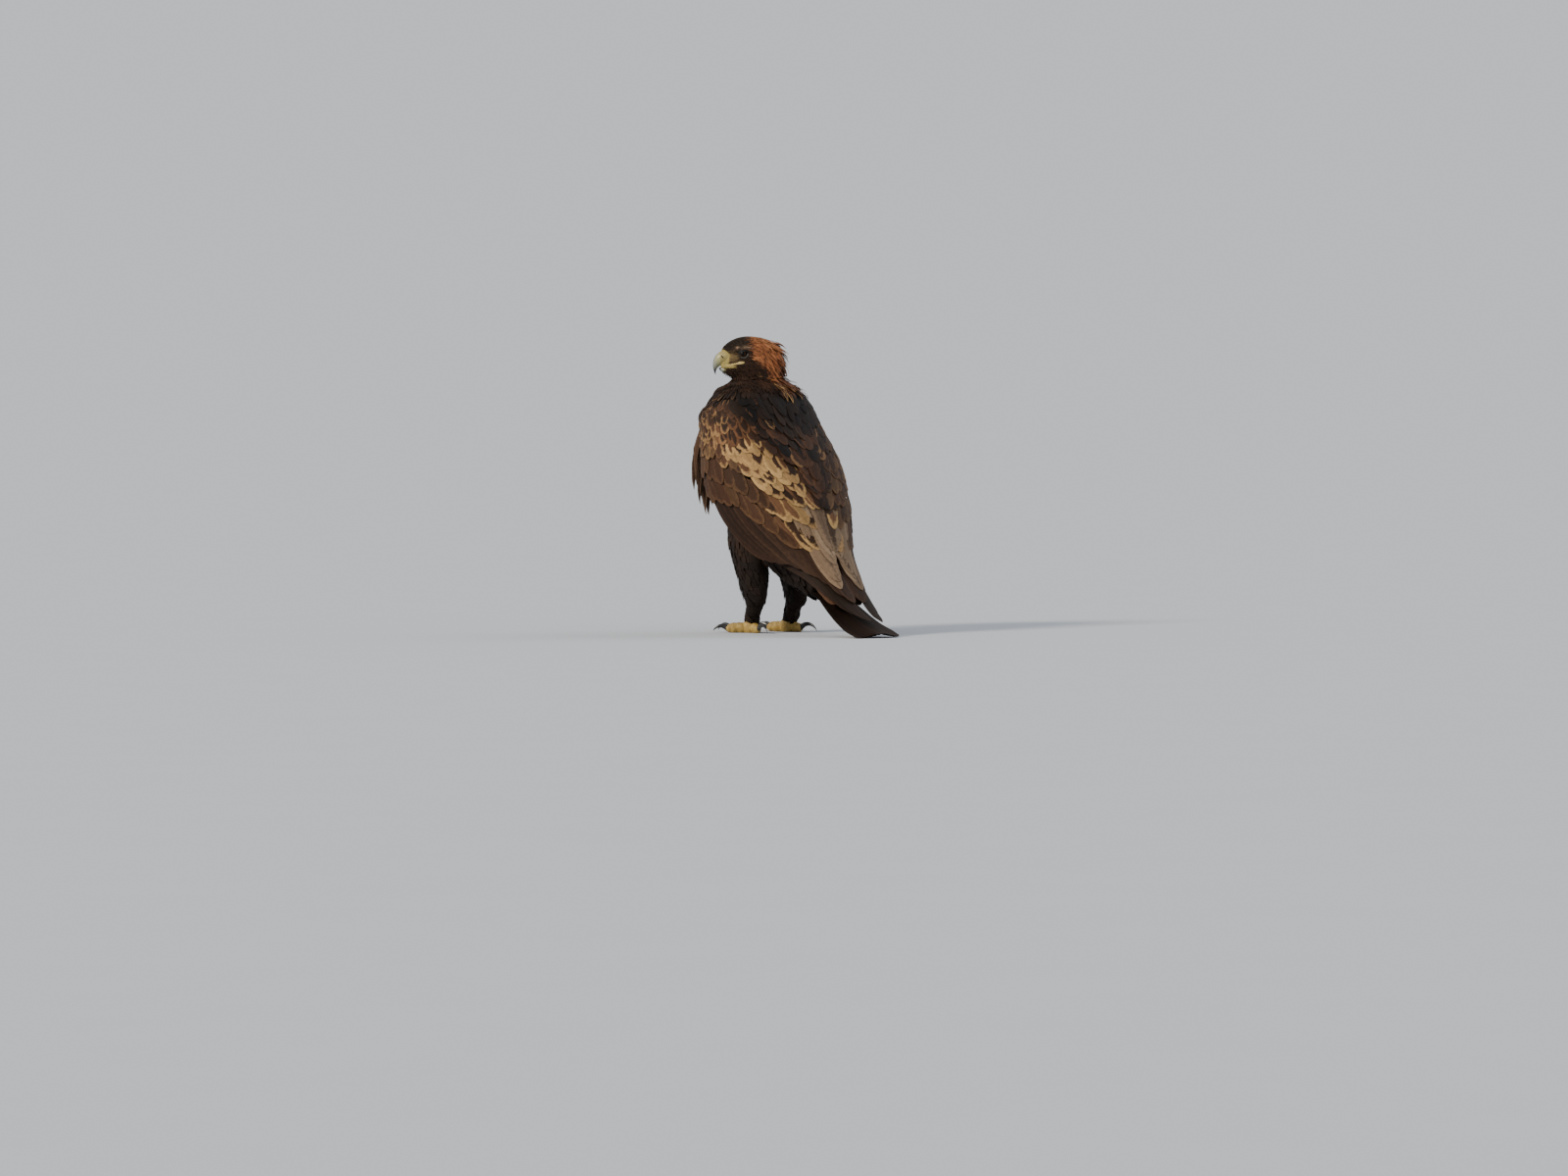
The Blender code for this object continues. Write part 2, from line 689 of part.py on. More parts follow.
def wing_core(side):
    """The wing under its feathers: a pad on the trunk's side that thins out over the tail."""
    back_edge = Curve([0.015, 0.06, 0.12, 0.25, 0.36, 0.46], [36, 22, 9, 2, 2, 2])
    front_edge = Curve([0.015, 0.06, 0.12, 0.20, 0.30, 0.38, 0.46], [104, 122, 124, 117, 104, 88, 68])
    depth = Curve([0.015, 0.08, 0.20, 0.30, 0.38, 0.46], [0.030, 0.045, 0.045, 0.045, 0.030, 0.008])
    ends, rows, columns = (0.016, 0.460), 11, 8
    outer, inner = [], []
    for i in range(rows):
        along = mix(*ends, i / (rows - 1))
        for j in range(columns):
            share = j / (columns - 1)
            angle = mix(back_edge(along), front_edge(along), share) * side
            low, _ = surface(along, angle, False, 0.004)
            sunk = mix(-0.003, -0.0125, ease(along, 0.06, 0.20)) - 0.008 * ease(along, 0.27, 0.36)
            high, out = surface(along, angle, True, sunk)
            rise = ease(share, -0.45 * ease(along, 0.04, 0.12), 0.25) * ease(1 - share, -0.02, 0.22)
            rise = mix(rise * ease(along, 0.0, 0.06), 1.0, ease(along, 0.33, 0.40))
            point = low.lerp(high, rise)
            outer.append(point)
            inner.append(point - out * depth(along) * (0.5 + 0.5 * math.sin(math.pi * share)))
    vertices = outer + inner
    shift = rows * columns
    faces = []
    for i in range(rows - 1):
        for j in range(columns - 1):
            a = i * columns + j
            b = a + columns
            faces += [(a, a + 1, b + 1), (a, b + 1, b)]
            faces += [(a + shift, b + 1 + shift, a + 1 + shift), (a + shift, b + shift, b + 1 + shift)]
    rim = [j for j in range(columns)]
    rim += [i * columns + columns - 1 for i in range(1, rows)]
    rim += [(rows - 1) * columns + j for j in range(columns - 2, -1, -1)]
    rim += [i * columns for i in range(rows - 2, 0, -1)]
    for k, a in enumerate(rim):
        b = rim[(k + 1) % len(rim)]
        faces += [(a, b, b + shift), (a, b + shift, a + shift)]
    return new_object("wing_core", vertices, faces, "plumage_brown")


def wing(side):
    """A folded wing: its pad and five tiers of vanes, cut clear of the trunk and of the other wing."""
    made = wing_core(side)
    made.name = "wing_left" if side > 0 else "wing_right"
    dice = random.Random(20 + side)
    vanes = []
    for tier in TIERS:
        vanes += tier_feathers(tier, side, dice)
    join(made, vanes)
    near, far = sorted((MIDLINE_GAP * side, -0.3 * side))
    cut(made, [inflated_trunk(), box((near, -0.3, -0.1), (far, 0.6, 0.7))])


def tail():
    """The rump and the closed tail of twelve feathers, laid along the floor."""
    start = TRUNK_END + GAP
    rings = []
    for i in range(5):
        share = i / 4
        along = mix(start, 0.520, share)
        centre, _, back = body_frame(along)
        half = mix(BODY(start)[2], 0.024, share)
        deep_back = mix(BODY(start)[3], 0.003, ease(share, 0, 1))
        deep_belly = mix(BODY(start)[4], 0.008, ease(share, 0, 1))
        ring = []
        for j in range(16):
            turn = math.tau * j / 16
            deep = deep_back if math.cos(turn) > 0 else deep_belly
            ring.append(centre + Vector((half * math.sin(turn), 0, 0)) + back * (deep * math.cos(turn)))
        rings.append(ring)
    made = loft("tail", rings, "plumage_dark")
    vanes = []
    for rank in range(12):
        # The middle pair lies uppermost and the outermost pair on the floor
        pair, side = rank // 2, 1 if rank % 2 else -1
        across = side * (pair + 0.5) / 5.5
        level = max(11 - rank, 1) - 1
        end = TAIL_TIP_ALONG - 0.010 * across**2
        spots, outs = [], []
        for share in VANE_SHARES:
            along = mix(0.435, end, share)
            centre, _, back = body_frame(along)
            sideways = across * mix(0.017, 0.046, share)
            point = centre + Vector((sideways, 0, 0)) + back * ((level - 6) * TAIL_STEP)
            point.z = max(point.z, FLOOR_CLEARANCE + level * TAIL_STEP)
            spots.append(point)
            outs.append(back)
        vanes.append(feather(spots, outs, 0.0150, 0.0, "plumage_dark", TAIL_WIDTHS, 0.0005))
    join(made, vanes)
    cut(made, [box((-0.2, -0.1, -0.05), (0.2, 0.6, 0.0))])


def oval(centre, half_x, half_y, count=16):
    """A level ring of points."""
    turns = [math.tau * j / count for j in range(count)]
    return [Vector(centre) + Vector((half_x * math.cos(t), half_y * math.sin(t), 0)) for t in turns]


# The leg, as heights from the flank to the foot: x, y, z, half width, half depth
THIGH = [
    (0.050, 0.004, 0.245, 0.036, 0.052),
    (0.053, 0.004, 0.190, 0.038, 0.054),
    (0.055, 0.012, 0.140, 0.034, 0.045),
    (0.052, 0.017, 0.095, 0.027, 0.036),
    (0.050, 0.018, TROUSER_Z, 0.019, 0.025),
]
TARSUS = [
    (0.050, 0.018, TROUSER_Z - GAP, 0.0150, 0.0185),
    (0.048, 0.008, 0.040, 0.0135, 0.0155),
    (FOOT_X, FOOT_Y, 0.0230, 0.0136, 0.0156),
]


def leg(side):
    """A feathered thigh with its trouser of vanes, the feathered tarsus, and the foot."""
    word = "left" if side > 0 else "right"
    thigh_curve = Curve(range(len(THIGH)), THIGH)
    rings, count = [], 7
    for i in range(count):
        x, y, z, half_x, half_y = thigh_curve((len(THIGH) - 1) * i / (count - 1))
        rings.append(oval((x * side, y, z), half_x, half_y, 14))
    thigh = loft("thigh_" + word, rings, "plumage_dark")
    vanes = []
    for row, (height, count) in enumerate(THIGH_ROWS):
        x, y, z, half_x, half_y = thigh_curve(mix(2, 3, (0.140 - height) / 0.045))
        for i in range(count):
            turn = math.tau * (i + 0.5 * row) / count
            out = Vector((math.cos(turn), math.sin(turn), 0))
            root = Vector((x * side + half_x * out.x, y + half_y * out.y, height))
            tip = Vector((0.050 * side + 0.0240 * out.x, 0.016 + 0.0290 * out.y, height - 0.050))
            fall = tip - root
            vanes.append(hang_lance(root, out, fall, 0.0110, 0.007, 0.006 - 0.003 * row, "plumage_dark"))
    join(thigh, vanes)
    cut(thigh, [inflated_trunk()])
    tarsus_curve = Curve(range(len(TARSUS)), TARSUS)
    rings, count = [], 5
    for i in range(count):
        x, y, z, half_x, half_y = tarsus_curve((len(TARSUS) - 1) * i / (count - 1))
        rings.append(oval((x * side, y, z), half_x, half_y, 14))
    loft("tarsus_" + word, rings, "plumage_dark")
    foot(side, word)


# Each toe: bearing from straight ahead towards the outside in degrees, length, talon's length
TOES = {
    "hind": (168, 0.036, HIND_TALON_LENGTH),
    "inner": (-26, 0.044, TALON_LENGTH * 1.05),
    "middle": (4, MIDDLE_TOE_LENGTH, TALON_LENGTH),
    "outer": (48, 0.048, TALON_LENGTH * 0.85),
}
TOE_END_Z = 0.0092

# The pad under the ankle: height, half width
FOOT_PAD = ((0.0, 0.0120), (0.004, 0.0150), (0.012, 0.0158), (0.019, 0.0145), (0.0226, 0.0120))


def toe_direction(side, bearing):
    """The level way a toe points, for a bearing in degrees from straight ahead."""
    turn = math.radians(bearing)
    return Vector((math.sin(turn) * side, -math.cos(turn), 0))


def foot(side, word):
    """The foot's pad and four toes as one body, and a talon on each toe."""
    ankle = Vector((FOOT_X * side, FOOT_Y, 0))
    rings = []
    for height, half in FOOT_PAD:
        rings.append(oval(ankle + Vector((0, 0, height)), half, half * 1.05, 16))
    made = loft("foot_" + word, rings, "foot_yellow")
    toes = []
    for name, (bearing, length, talon) in TOES.items():
        ahead = toe_direction(side, bearing)
        across = Vector((-ahead.y, ahead.x, 0))
        rings = []
        steps = 8
        for i in range(steps):
            share = i / (steps - 1)
            radius = mix(0.0102, 0.0076, share) * (1 + 0.07 * math.cos(share * math.tau * 2.5))
            middle = mix(0.0110, TOE_END_Z, share)
            # The last part of the toe carries raised plates on its top
            plate = 0.0007 if share > 0.45 and i % 2 else 0.0
            ring = []
            for j in range(8):
                turn = math.tau * (j + 0.5) / 8
                rise = math.sin(turn) * radius * (1.0 if math.sin(turn) > 0 else 1.25)
                rise += plate if math.sin(turn) > 0.5 else 0.0
                spot = ankle + ahead * mix(0.004, length, share) + across * (math.cos(turn) * radius)
                ring.append(spot + Vector((0, 0, max(middle + rise, 0.0))))
            rings.append(ring)
        toes.append(loft("toe", rings, "foot_yellow"))
        claw(side, word, name, ankle + ahead * (length + GAP), ahead, talon)
    join(made, toes)


def claw(side, word, name, start, ahead, length):
    """A talon: a tapered arc that leaves the toe upwards and comes down to the floor."""
    rise, fall = math.radians(38), math.radians(-66)
    radius = length / (rise - fall)
    steps = 7
    rings = []
    spot = Vector((start.x, start.y, TOE_END_Z))
    drop = radius * (math.cos(rise) - math.cos(fall))
    lift = max(0.0, drop - TOE_END_Z + 0.0012)
    rise += lift / radius * 0.9
    across = Vector((-ahead.y, ahead.x, 0))
    for i in range(steps):
        share = i / (steps - 1)
        turn = mix(rise, fall, share)
        heading = ahead * math.cos(turn) + Vector((0, 0, math.sin(turn)))
        up = -ahead * math.sin(turn) + Vector((0, 0, math.cos(turn)))
        if i == 0:
            up = Vector((0, 0, 1))
        thick = mix(1.0, 0.10, share**1.3)
        ring = []
        for j in range(6):
            angle = math.tau * (j + 0.5) / 6
            sideways, upwards = 0.0042 * thick * math.cos(angle), 0.0056 * thick * math.sin(angle)
            ring.append(spot + across * sideways + up * upwards)
        rings.append(ring)
        spot = spot + heading * (length / (steps - 1))
    low = min(p.z for ring in rings for p in ring)
    if low < 0.0004:
        for i, ring in enumerate(rings):
            rings[i] = [p + Vector((0, 0, (0.0004 - low) * i / (steps - 1))) for p in ring]
    loft("talon_" + word + "_" + name, rings, "talon_black")


def centre_on_floor(objects):
    """Puts the origin below the middle of the model's box."""
    corners = [o.matrix_world @ v.co for o in objects for v in o.data.vertices]
    low = [min(c[k] for c in corners) for k in range(3)]
    high = [max(c[k] for c in corners) for k in range(3)]
    shift = Vector((-(low[0] + high[0]) / 2, -(low[1] + high[1]) / 2, -low[2]))
    for o in objects:
        o.data.transform(Matrix.Translation(shift))


def shade(made):
    """Smooth where a surface bends gently, with its sharp edges kept."""
    made.data.shade_smooth()
    made.data.set_sharp_from_angle(angle=SMOOTH_ANGLE)


def main():
    for old in list(bpy.data.objects):
        bpy.data.objects.remove(old)
    torso()
    neck()
    head()
    bill()
    eye_ball("eye_left", 1)
    eye_ball("eye_right", -1)
    wing(1)
    wing(-1)
    tail()
    leg(1)
    leg(-1)
    parts = list(bpy.data.objects)
    group = bpy.data.collections.new("golden_eagle")
    bpy.context.scene.collection.children.link(group)
    for part in parts:
        for old in part.users_collection:
            old.objects.unlink(part)
        group.objects.link(part)
        shade(part)
    bpy.context.view_layer.update()
    centre_on_floor(parts)


main()
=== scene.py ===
"""A golden eagle, standing with folded wings and its head turned to its left: skin, feathers, bill, eyes, feet.

The bird faces -Y, its left side is +X and the floor is Z = 0. All sizes are metres.
"""

import math

import bmesh
import bpy
import numpy as np
from mathutils import Matrix, Vector
from mathutils.bvhtree import BVHTree
from mathutils.kdtree import KDTree


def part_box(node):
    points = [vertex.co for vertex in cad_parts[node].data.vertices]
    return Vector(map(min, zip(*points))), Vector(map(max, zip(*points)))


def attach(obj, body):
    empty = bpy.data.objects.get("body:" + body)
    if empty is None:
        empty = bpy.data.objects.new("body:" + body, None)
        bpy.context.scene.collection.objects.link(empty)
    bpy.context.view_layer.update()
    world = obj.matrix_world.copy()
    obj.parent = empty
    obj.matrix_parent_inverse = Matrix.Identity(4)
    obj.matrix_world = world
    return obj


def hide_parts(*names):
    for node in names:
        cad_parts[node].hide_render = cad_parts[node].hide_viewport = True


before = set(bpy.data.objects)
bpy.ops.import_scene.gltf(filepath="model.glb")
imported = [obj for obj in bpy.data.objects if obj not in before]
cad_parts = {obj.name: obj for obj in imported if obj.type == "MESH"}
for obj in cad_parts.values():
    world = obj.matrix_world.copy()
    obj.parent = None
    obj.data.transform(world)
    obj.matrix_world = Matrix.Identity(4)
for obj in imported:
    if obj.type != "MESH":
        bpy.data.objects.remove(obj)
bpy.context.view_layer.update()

# Driving sizes, the same as in the solids
HEAD_YAW = math.radians(52)
HEAD_CENTRE = np.array((0.0, -0.044, 0.0))
EYE_FORWARD, EYE_SIDE, EYE_Z = 0.0235, 0.0262, 0.5455
EYE_RADIUS = 0.0080
SECTION_POWER = 2.25
HEAD_POWER = 2.35
HEAD_CUT_Z = 0.498
TRUNK_START, TRUNK_END = 0.022, 0.400
TAIL_TIP_ALONG = 0.672
TROUSER_Z = 0.058
FOOT_X, FOOT_Y = 0.046, 0.000

# The middle line from the shoulders to the tail's tip, with what surrounds it:
# y, z, trunk half width, back depth, belly depth, folded wings' half width, back depth, belly depth
STATIONS = [
    (-0.042, 0.495, 0.066, 0.048, 0.084, 0.070, 0.050, 0.088),
    (-0.034, 0.450, 0.092, 0.056, 0.117, 0.104, 0.066, 0.127),
    (-0.018, 0.400, 0.100, 0.068, 0.124, 0.118, 0.080, 0.132),
    (0.008, 0.320, 0.110, 0.088, 0.117, 0.140, 0.106, 0.122),
    (0.043, 0.240, 0.102, 0.093, 0.104, 0.136, 0.116, 0.112),
    (0.095, 0.163, 0.074, 0.074, 0.064, 0.112, 0.108, 0.080),
    (0.145, 0.117, 0.052, 0.044, 0.042, 0.088, 0.084, 0.065),
    (0.210, 0.074, 0.045, 0.024, 0.020, 0.070, 0.054, 0.050),
    (0.285, 0.029, 0.045, 0.014, 0.010, 0.060, 0.032, 0.030),
    (0.362, 0.0000, 0.045, 0.010, 0.008, 0.052, 0.022, 0.020),
]

# The head, in its own frame: how far forward, crown, throat, half width
HEAD_STATIONS = [
    (-0.0545, 0.5400, 0.5150, 0.0100),
    (-0.0480, 0.5590, 0.4900, 0.0265),
    (-0.0300, 0.5725, 0.4780, 0.0365),
    (0.0000, 0.5790, 0.4760, 0.0395),
    (0.0200, 0.5796, 0.4800, 0.0372),
    (0.0380, 0.5760, 0.4950, 0.0305),
    (0.0520, 0.5690, 0.5040, 0.0230),
    (0.0640, 0.5590, 0.5095, 0.0162),
    (0.0700, 0.5505, 0.5190, 0.0120),
]
FACE_FORWARD = 0.0695

# The bill: forward and height of its upper edge, forward and height of its lower edge, half width
UPPER_BILL = [
    (0.0500, 0.5550, 0.0500, 0.5225, 0.0160),
    (0.0640, 0.5522, 0.0620, 0.5215, 0.0142),
    (0.0735, 0.5474, 0.0690, 0.5210, 0.0118),
    (0.0800, 0.5398, 0.0730, 0.5195, 0.0092),
    (0.0834, 0.5300, 0.0755, 0.5165, 0.0064),
    (0.0836, 0.5205, 0.0770, 0.5125, 0.0040),
    (0.0818, 0.5118, 0.0780, 0.5082, 0.0021),
    (0.0788, 0.5050, 0.0780, 0.5046, 0.0008),
]
LOWER_BILL = [
    (0.0500, 0.5210, 0.0500, 0.5085, 0.0140),
    (0.0600, 0.5203, 0.0600, 0.5088, 0.0118),
    (0.0680, 0.5195, 0.0670, 0.5110, 0.0085),
    (0.0718, 0.5185, 0.0712, 0.5150, 0.0045),
]
CERE_SHARE = 1.75

# The left leg, from the flank to the foot: x, y, z, half width, half depth
THIGH = [
    (0.050, 0.004, 0.245, 0.036, 0.052),
    (0.053, 0.004, 0.190, 0.038, 0.054),
    (0.055, 0.012, 0.140, 0.034, 0.045),
    (0.052, 0.017, 0.095, 0.027, 0.036),
    (0.050, 0.018, 0.058, 0.019, 0.025),
]
TARSUS = [
    (0.050, 0.018, 0.062, 0.0150, 0.0185),
    (0.048, 0.008, 0.040, 0.0135, 0.0155),
    (0.046, 0.000, 0.0200, 0.0136, 0.0156),
]

# Each toe: bearing from straight ahead towards the outside in degrees, length, talon's length
TOES = {
    "hind": (168, 0.036, 0.048),
    "inner": (-26, 0.044, 0.0399),
    "middle": (4, 0.066, 0.038),
    "outer": (48, 0.048, 0.0323),
}
TOE_END_Z = 0.0092

# Plumage colours, linear
BLACKISH = (0.0048, 0.0040, 0.0038)
DARK = (0.0150, 0.0088, 0.0060)
BROWN = (0.0400, 0.0190, 0.0108)
MID = (0.0950, 0.0450, 0.0220)
RUFOUS = (0.145, 0.043, 0.018)
GOLD = (0.315, 0.127, 0.050)
BUFF = (0.285, 0.160, 0.068)
STRAW = (0.430, 0.268, 0.108)
CAP = (0.022, 0.017, 0.013)
LORE = (0.170, 0.118, 0.055)
CERE = (0.330, 0.260, 0.085)
PINK_BUFF = (0.330, 0.215, 0.140)


class Curve:
    """A smooth curve through given knots, for one place or many."""

    def __init__(self, at, values):
        self.at = np.array(at, float)
        self.values = np.array(values, float)
        self.slopes = np.gradient(self.values, self.at, axis=0)

    def __call__(self, where):
        where = np.clip(np.asarray(where, float), self.at[0], self.at[-1])
        i = np.clip(np.searchsorted(self.at, where, side="right") - 1, 0, len(self.at) - 2)
        span = self.at[i + 1] - self.at[i]
        t = (where - self.at[i]) / span
        if self.values.ndim > 1:
            span, t = span[..., None], t[..., None]
        start, end = self.values[i], self.values[i + 1]
        out, back = self.slopes[i] * span, self.slopes[i + 1] * span
        return (
            (2 * t**3 - 3 * t**2 + 1) * start
            + (t**3 - 2 * t**2 + t) * out
            + (3 * t**2 - 2 * t**3) * end
            + (t**3 - t**2) * back
        )


def ease(value, low, high):
    """0 up to low, 1 from high on, and smooth between."""
    t = np.clip((value - low) / (high - low), 0.0, 1.0)
    return t * t * (3 - 2 * t)


def mix(a, b, t):
    """a where t is 0 and b where t is 1."""
    return a + (b - a) * t


def blend(a, b, t):
    """Mixes two colours, or rows of colours, by a row of shares."""
    a, b = np.atleast_2d(np.asarray(a, float)), np.atleast_2d(np.asarray(b, float))
    t = np.asarray(t, float).reshape(-1, 1)
    return a + (b - a) * t


def unit(v):
    return v / np.maximum(np.linalg.norm(v, axis=-1, keepdims=True), 1e-12)


def signed_power(value, power):
    return np.copysign(np.abs(value) ** power, value)


def mottle(points, size, seed):
    """Smooth chance from about -1 to 1 over points, in patches of a size."""
    dice = np.random.default_rng(seed)
    ways = dice.normal(0, math.tau / size / 1.7, (7, points.shape[1]))
    waves = np.sin(points @ ways.T + dice.random(7) * math.tau)
    return np.tanh(waves.mean(1) * 2.6)


# The body's surfaces


def body_curve():
    """The stations as a curve over the distance along the middle line."""
    points = np.array([row[:2] for row in STATIONS])
    steps = np.linalg.norm(np.diff(points, axis=0), axis=1)
    return Curve(np.concatenate([[0], np.cumsum(steps)]), STATIONS)


BODY = body_curve()
FRAME_STEP = 0.004


def body_frame(along):
    """The middle of the body there, the way down it, and the way out to its back."""
    along = np.asarray(along, float)
    here, near, far = BODY(along), BODY(along - FRAME_STEP), BODY(along + FRAME_STEP)
    nought = np.zeros_like(here[..., 0])
    down = unit(np.stack([nought, far[..., 0] - near[..., 0], far[..., 1] - near[..., 1]], -1))
    back = np.stack([nought, -down[..., 2], down[..., 1]], -1)
    centre = np.stack([nought, here[..., 0], here[..., 1]], -1)
    return centre, down, back


def section(along, wings, up):
    """Half width and depth of the trunk or the folded wings there, on the side that up is on."""
    first = 5 if wings else 2
    sizes = BODY(along)
    deep = np.where(up > 0, sizes[..., first + 1], sizes[..., first + 2])
    return sizes[..., first], deep


def way_out(side, up, half, deep, back):
    """The way out of a section, from shares of its half width and of its depth."""
    sideways = signed_power(side, SECTION_POWER - 1) / half
    upwards = signed_power(up, SECTION_POWER - 1) / deep
    out = back * upwards[..., None]
    out[..., 0] += sideways
    return unit(out)


def surface(along, angle, wings=False, lift=0.0):
    """Points of the trunk or folded wings, and the ways out. Angle 0 is the back, 90 the left side."""
    along, angle, lift = np.broadcast_arrays(
        np.asarray(along, float), np.asarray(angle, float), np.asarray(lift, float)
    )
    centre, _, back = body_frame(along)
    turn = np.radians(angle)
    half, deep = section(along, wings, np.cos(turn))
    side = signed_power(np.sin(turn), 2 / SECTION_POWER)
    up = signed_power(np.cos(turn), 2 / SECTION_POWER)
    out = way_out(side, up, half, deep, back)
    point = centre + back * (deep * up)[..., None]
    point[..., 0] += half * side
    return point + out * lift[..., None], out


def body_place(points, along, steps=4):
    """How far along the body points are, with the middle of the body there and the way out to its back."""
    for _ in range(steps):
        centre, down, back = body_frame(along)
        along = along + ((points - centre) * down).sum(-1)
    centre, down, back = body_frame(along)
    return along, centre, back


def onto_surface(points, wings, lift, along):
    """The points of the surface, at a lift, below ones that lie near it, and the ways out."""
    along, centre, back = body_place(points, along, 3)
    sideways = points[..., 0]
    up = ((points - centre) * back).sum(-1)
    half, deep = section(along, wings, up)
    size = np.abs(sideways / half) ** SECTION_POWER + np.abs(up / deep) ** SECTION_POWER
    size = np.maximum(size, 1e-9) ** (1 / SECTION_POWER)
    out = way_out(sideways / half / size, up / deep / size, half, deep, back)
    found = centre + back * (up / size)[..., None]
    found[..., 0] += sideways / size
    return found + out * np.asarray(lift)[..., None], out


AHEAD = np.array((math.sin(HEAD_YAW), -math.cos(HEAD_YAW), 0.0))
LEFT = np.array((math.cos(HEAD_YAW), math.sin(HEAD_YAW), 0.0))
UP = np.array((0.0, 0.0, 1.0))


def head_point(forward, side, height):
    """A point given by how far forward and left it is of the head's middle, and its height."""
    forward, side, height = np.broadcast_arrays(
        np.asarray(forward, float), np.asarray(side, float), np.asarray(height, float)
    )
    spot = HEAD_CENTRE + AHEAD * forward[..., None] + LEFT * side[..., None]
    return spot + UP * height[..., None]


def head_place(points):
    """How far forward and left of the head's middle points are."""
    rel = points - HEAD_CENTRE
    return rel @ AHEAD, rel @ LEFT


HEAD = Curve([row[0] for row in HEAD_STATIONS], HEAD_STATIONS)


def head_surface(forward, angle, lift=0.0):
    """Points of the head. Angle 0 is the crown, 90 its left cheek."""
    sizes = HEAD(forward)
    crown, throat, half = sizes[..., 1], sizes[..., 2], sizes[..., 3]
    middle, tall = (crown + throat) / 2, (crown - throat) / 2
    turn = np.radians(angle)
    side = signed_power(np.sin(turn), 2 / HEAD_POWER)
    up = signed_power(np.cos(turn), 2 / HEAD_POWER)
    return head_point(forward, (half + lift) * side, middle + (tall + lift) * up)


def side_at(forward, height):
    """How far out the head's surface is, at places given as seen from its side."""
    sizes = HEAD(forward)
    crown, throat, half = sizes[..., 1], sizes[..., 2], sizes[..., 3]
    level = np.abs(height - (crown + throat) / 2) / ((crown - throat) / 2)
    return half * (1 - np.minimum(level, 0.97) ** HEAD_POWER) ** (1 / HEAD_POWER)


def shift_to_frame():
    """What takes this script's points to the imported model's frame, from the left eye's place in both."""
    low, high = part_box("eye_left")
    return np.array((low + high) / 2) - head_point(EYE_FORWARD, EYE_SIDE, EYE_Z)


SHIFT = shift_to_frame()


# Meshes


def mesh_object(name, points, faces, smooth=True):
    """A mesh object from arrays of points and of triangles, or from a list of faces."""
    mesh = bpy.data.meshes.new(name)
    points = np.asarray(points, np.float32)
    if isinstance(faces, np.ndarray):
        mesh.vertices.add(len(points))
        mesh.vertices.foreach_set("co", points.ravel())
        mesh.loops.add(faces.size)
        mesh.loops.foreach_set("vertex_index", faces.astype(np.int32).ravel())
        mesh.polygons.add(len(faces))
        mesh.polygons.foreach_set("loop_start", np.arange(0, faces.size, 3, dtype=np.int32))
        mesh.update(calc_edges=True)
    else:
        mesh.from_pydata([tuple(map(float, p)) for p in points], [], faces)
    mesh.validate()
    made = bpy.data.objects.new(name, mesh)
    bpy.context.scene.collection.objects.link(made)
    if smooth:
        mesh.shade_smooth()
    return made


def points_of(mesh):
    points = np.empty(len(mesh.vertices) * 3, np.float32)
    mesh.vertices.foreach_get("co", points)
    return points.reshape(-1, 3).astype(float)


def outwards(made):
    """Turns a mesh's faces outwards."""
    work = bmesh.new()
    work.from_mesh(made.data)
    bmesh.ops.recalc_face_normals(work, faces=work.faces)
    work.to_mesh(made.data)
    work.free()
    return made


def loft(name, rings):
    """A closed body through rings of equal point counts."""
    count = len(rings[0])
    points = np.concatenate([np.asarray(ring) for ring in rings])
    faces = []
    for i in range(len(rings) - 1):
        for j in range(count):
            a, b = i * count + j, i * count + (j + 1) % count
            faces.append((a, b, b + count, a + count))
    faces.append(tuple(reversed(range(count))))
    faces.append(tuple(range((len(rings) - 1) * count, len(rings) * count)))
    return outwards(mesh_object(name, points, faces))


def ball(name, centre, sizes, axes=None, segments=32):
    """An ellipsoid. axes are its own three axes, in the bird's frame."""
    bpy.ops.mesh.primitive_uv_sphere_add(segments=segments, ring_count=segments // 2, radius=1)
    made = bpy.context.object
    made.name = name
    turn = Matrix.Identity(4) if axes is None else Matrix(np.array(axes).T.tolist()).to_4x4()
    place = Matrix.Translation(Vector(centre)) @ turn @ Matrix.Diagonal((*sizes, 1))
    made.data.transform(place)
    made.data.shade_smooth()
    return made


def baked(made):
    """Bakes an object's modifiers into its mesh."""
    graph = bpy.context.evaluated_depsgraph_get()
    mesh = bpy.data.meshes.new_from_object(made.evaluated_get(graph))
    made.modifiers.clear()
    made.data = mesh
    return made


def cut(made, cutters, solver="MANIFOLD"):
    """Cuts closed meshes out of one, and removes them."""
    for cutter in cutters:
        change = made.modifiers.new("cut", "BOOLEAN")
        change.operation = "DIFFERENCE"
        change.solver = solver
        change.object = cutter
    baked(made)
    for cutter in cutters:
        bpy.data.objects.remove(cutter)
    return made


def joined(name, pieces):
    """One mesh object out of several."""
    work = bmesh.new()
    for piece in pieces:
        work.from_mesh(piece.data)
        bpy.data.objects.remove(piece)
    mesh = bpy.data.meshes.new(name)
    work.to_mesh(mesh)
    work.free()
    made = bpy.data.objects.new(name, mesh)
    bpy.context.scene.collection.objects.link(made)
    return made


def put(made, finish, nodes=()):
    made.data.transform(Matrix.Translation(Vector(SHIFT)))
    made.data.materials.clear()
    made.data.materials.append(finish)
    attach(made, "root")
    if nodes:
        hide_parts(*nodes)
    return made


def colour_attribute(mesh, name, colours):
    """Stores one colour for each vertex. colours has three or four columns."""
    layer = mesh.attributes.new(name, "FLOAT_COLOR", "POINT")
    full = np.ones((len(colours), 4), np.float32)
    full[:, : colours.shape[1]] = colours
    layer.data.foreach_set("color", full.ravel())


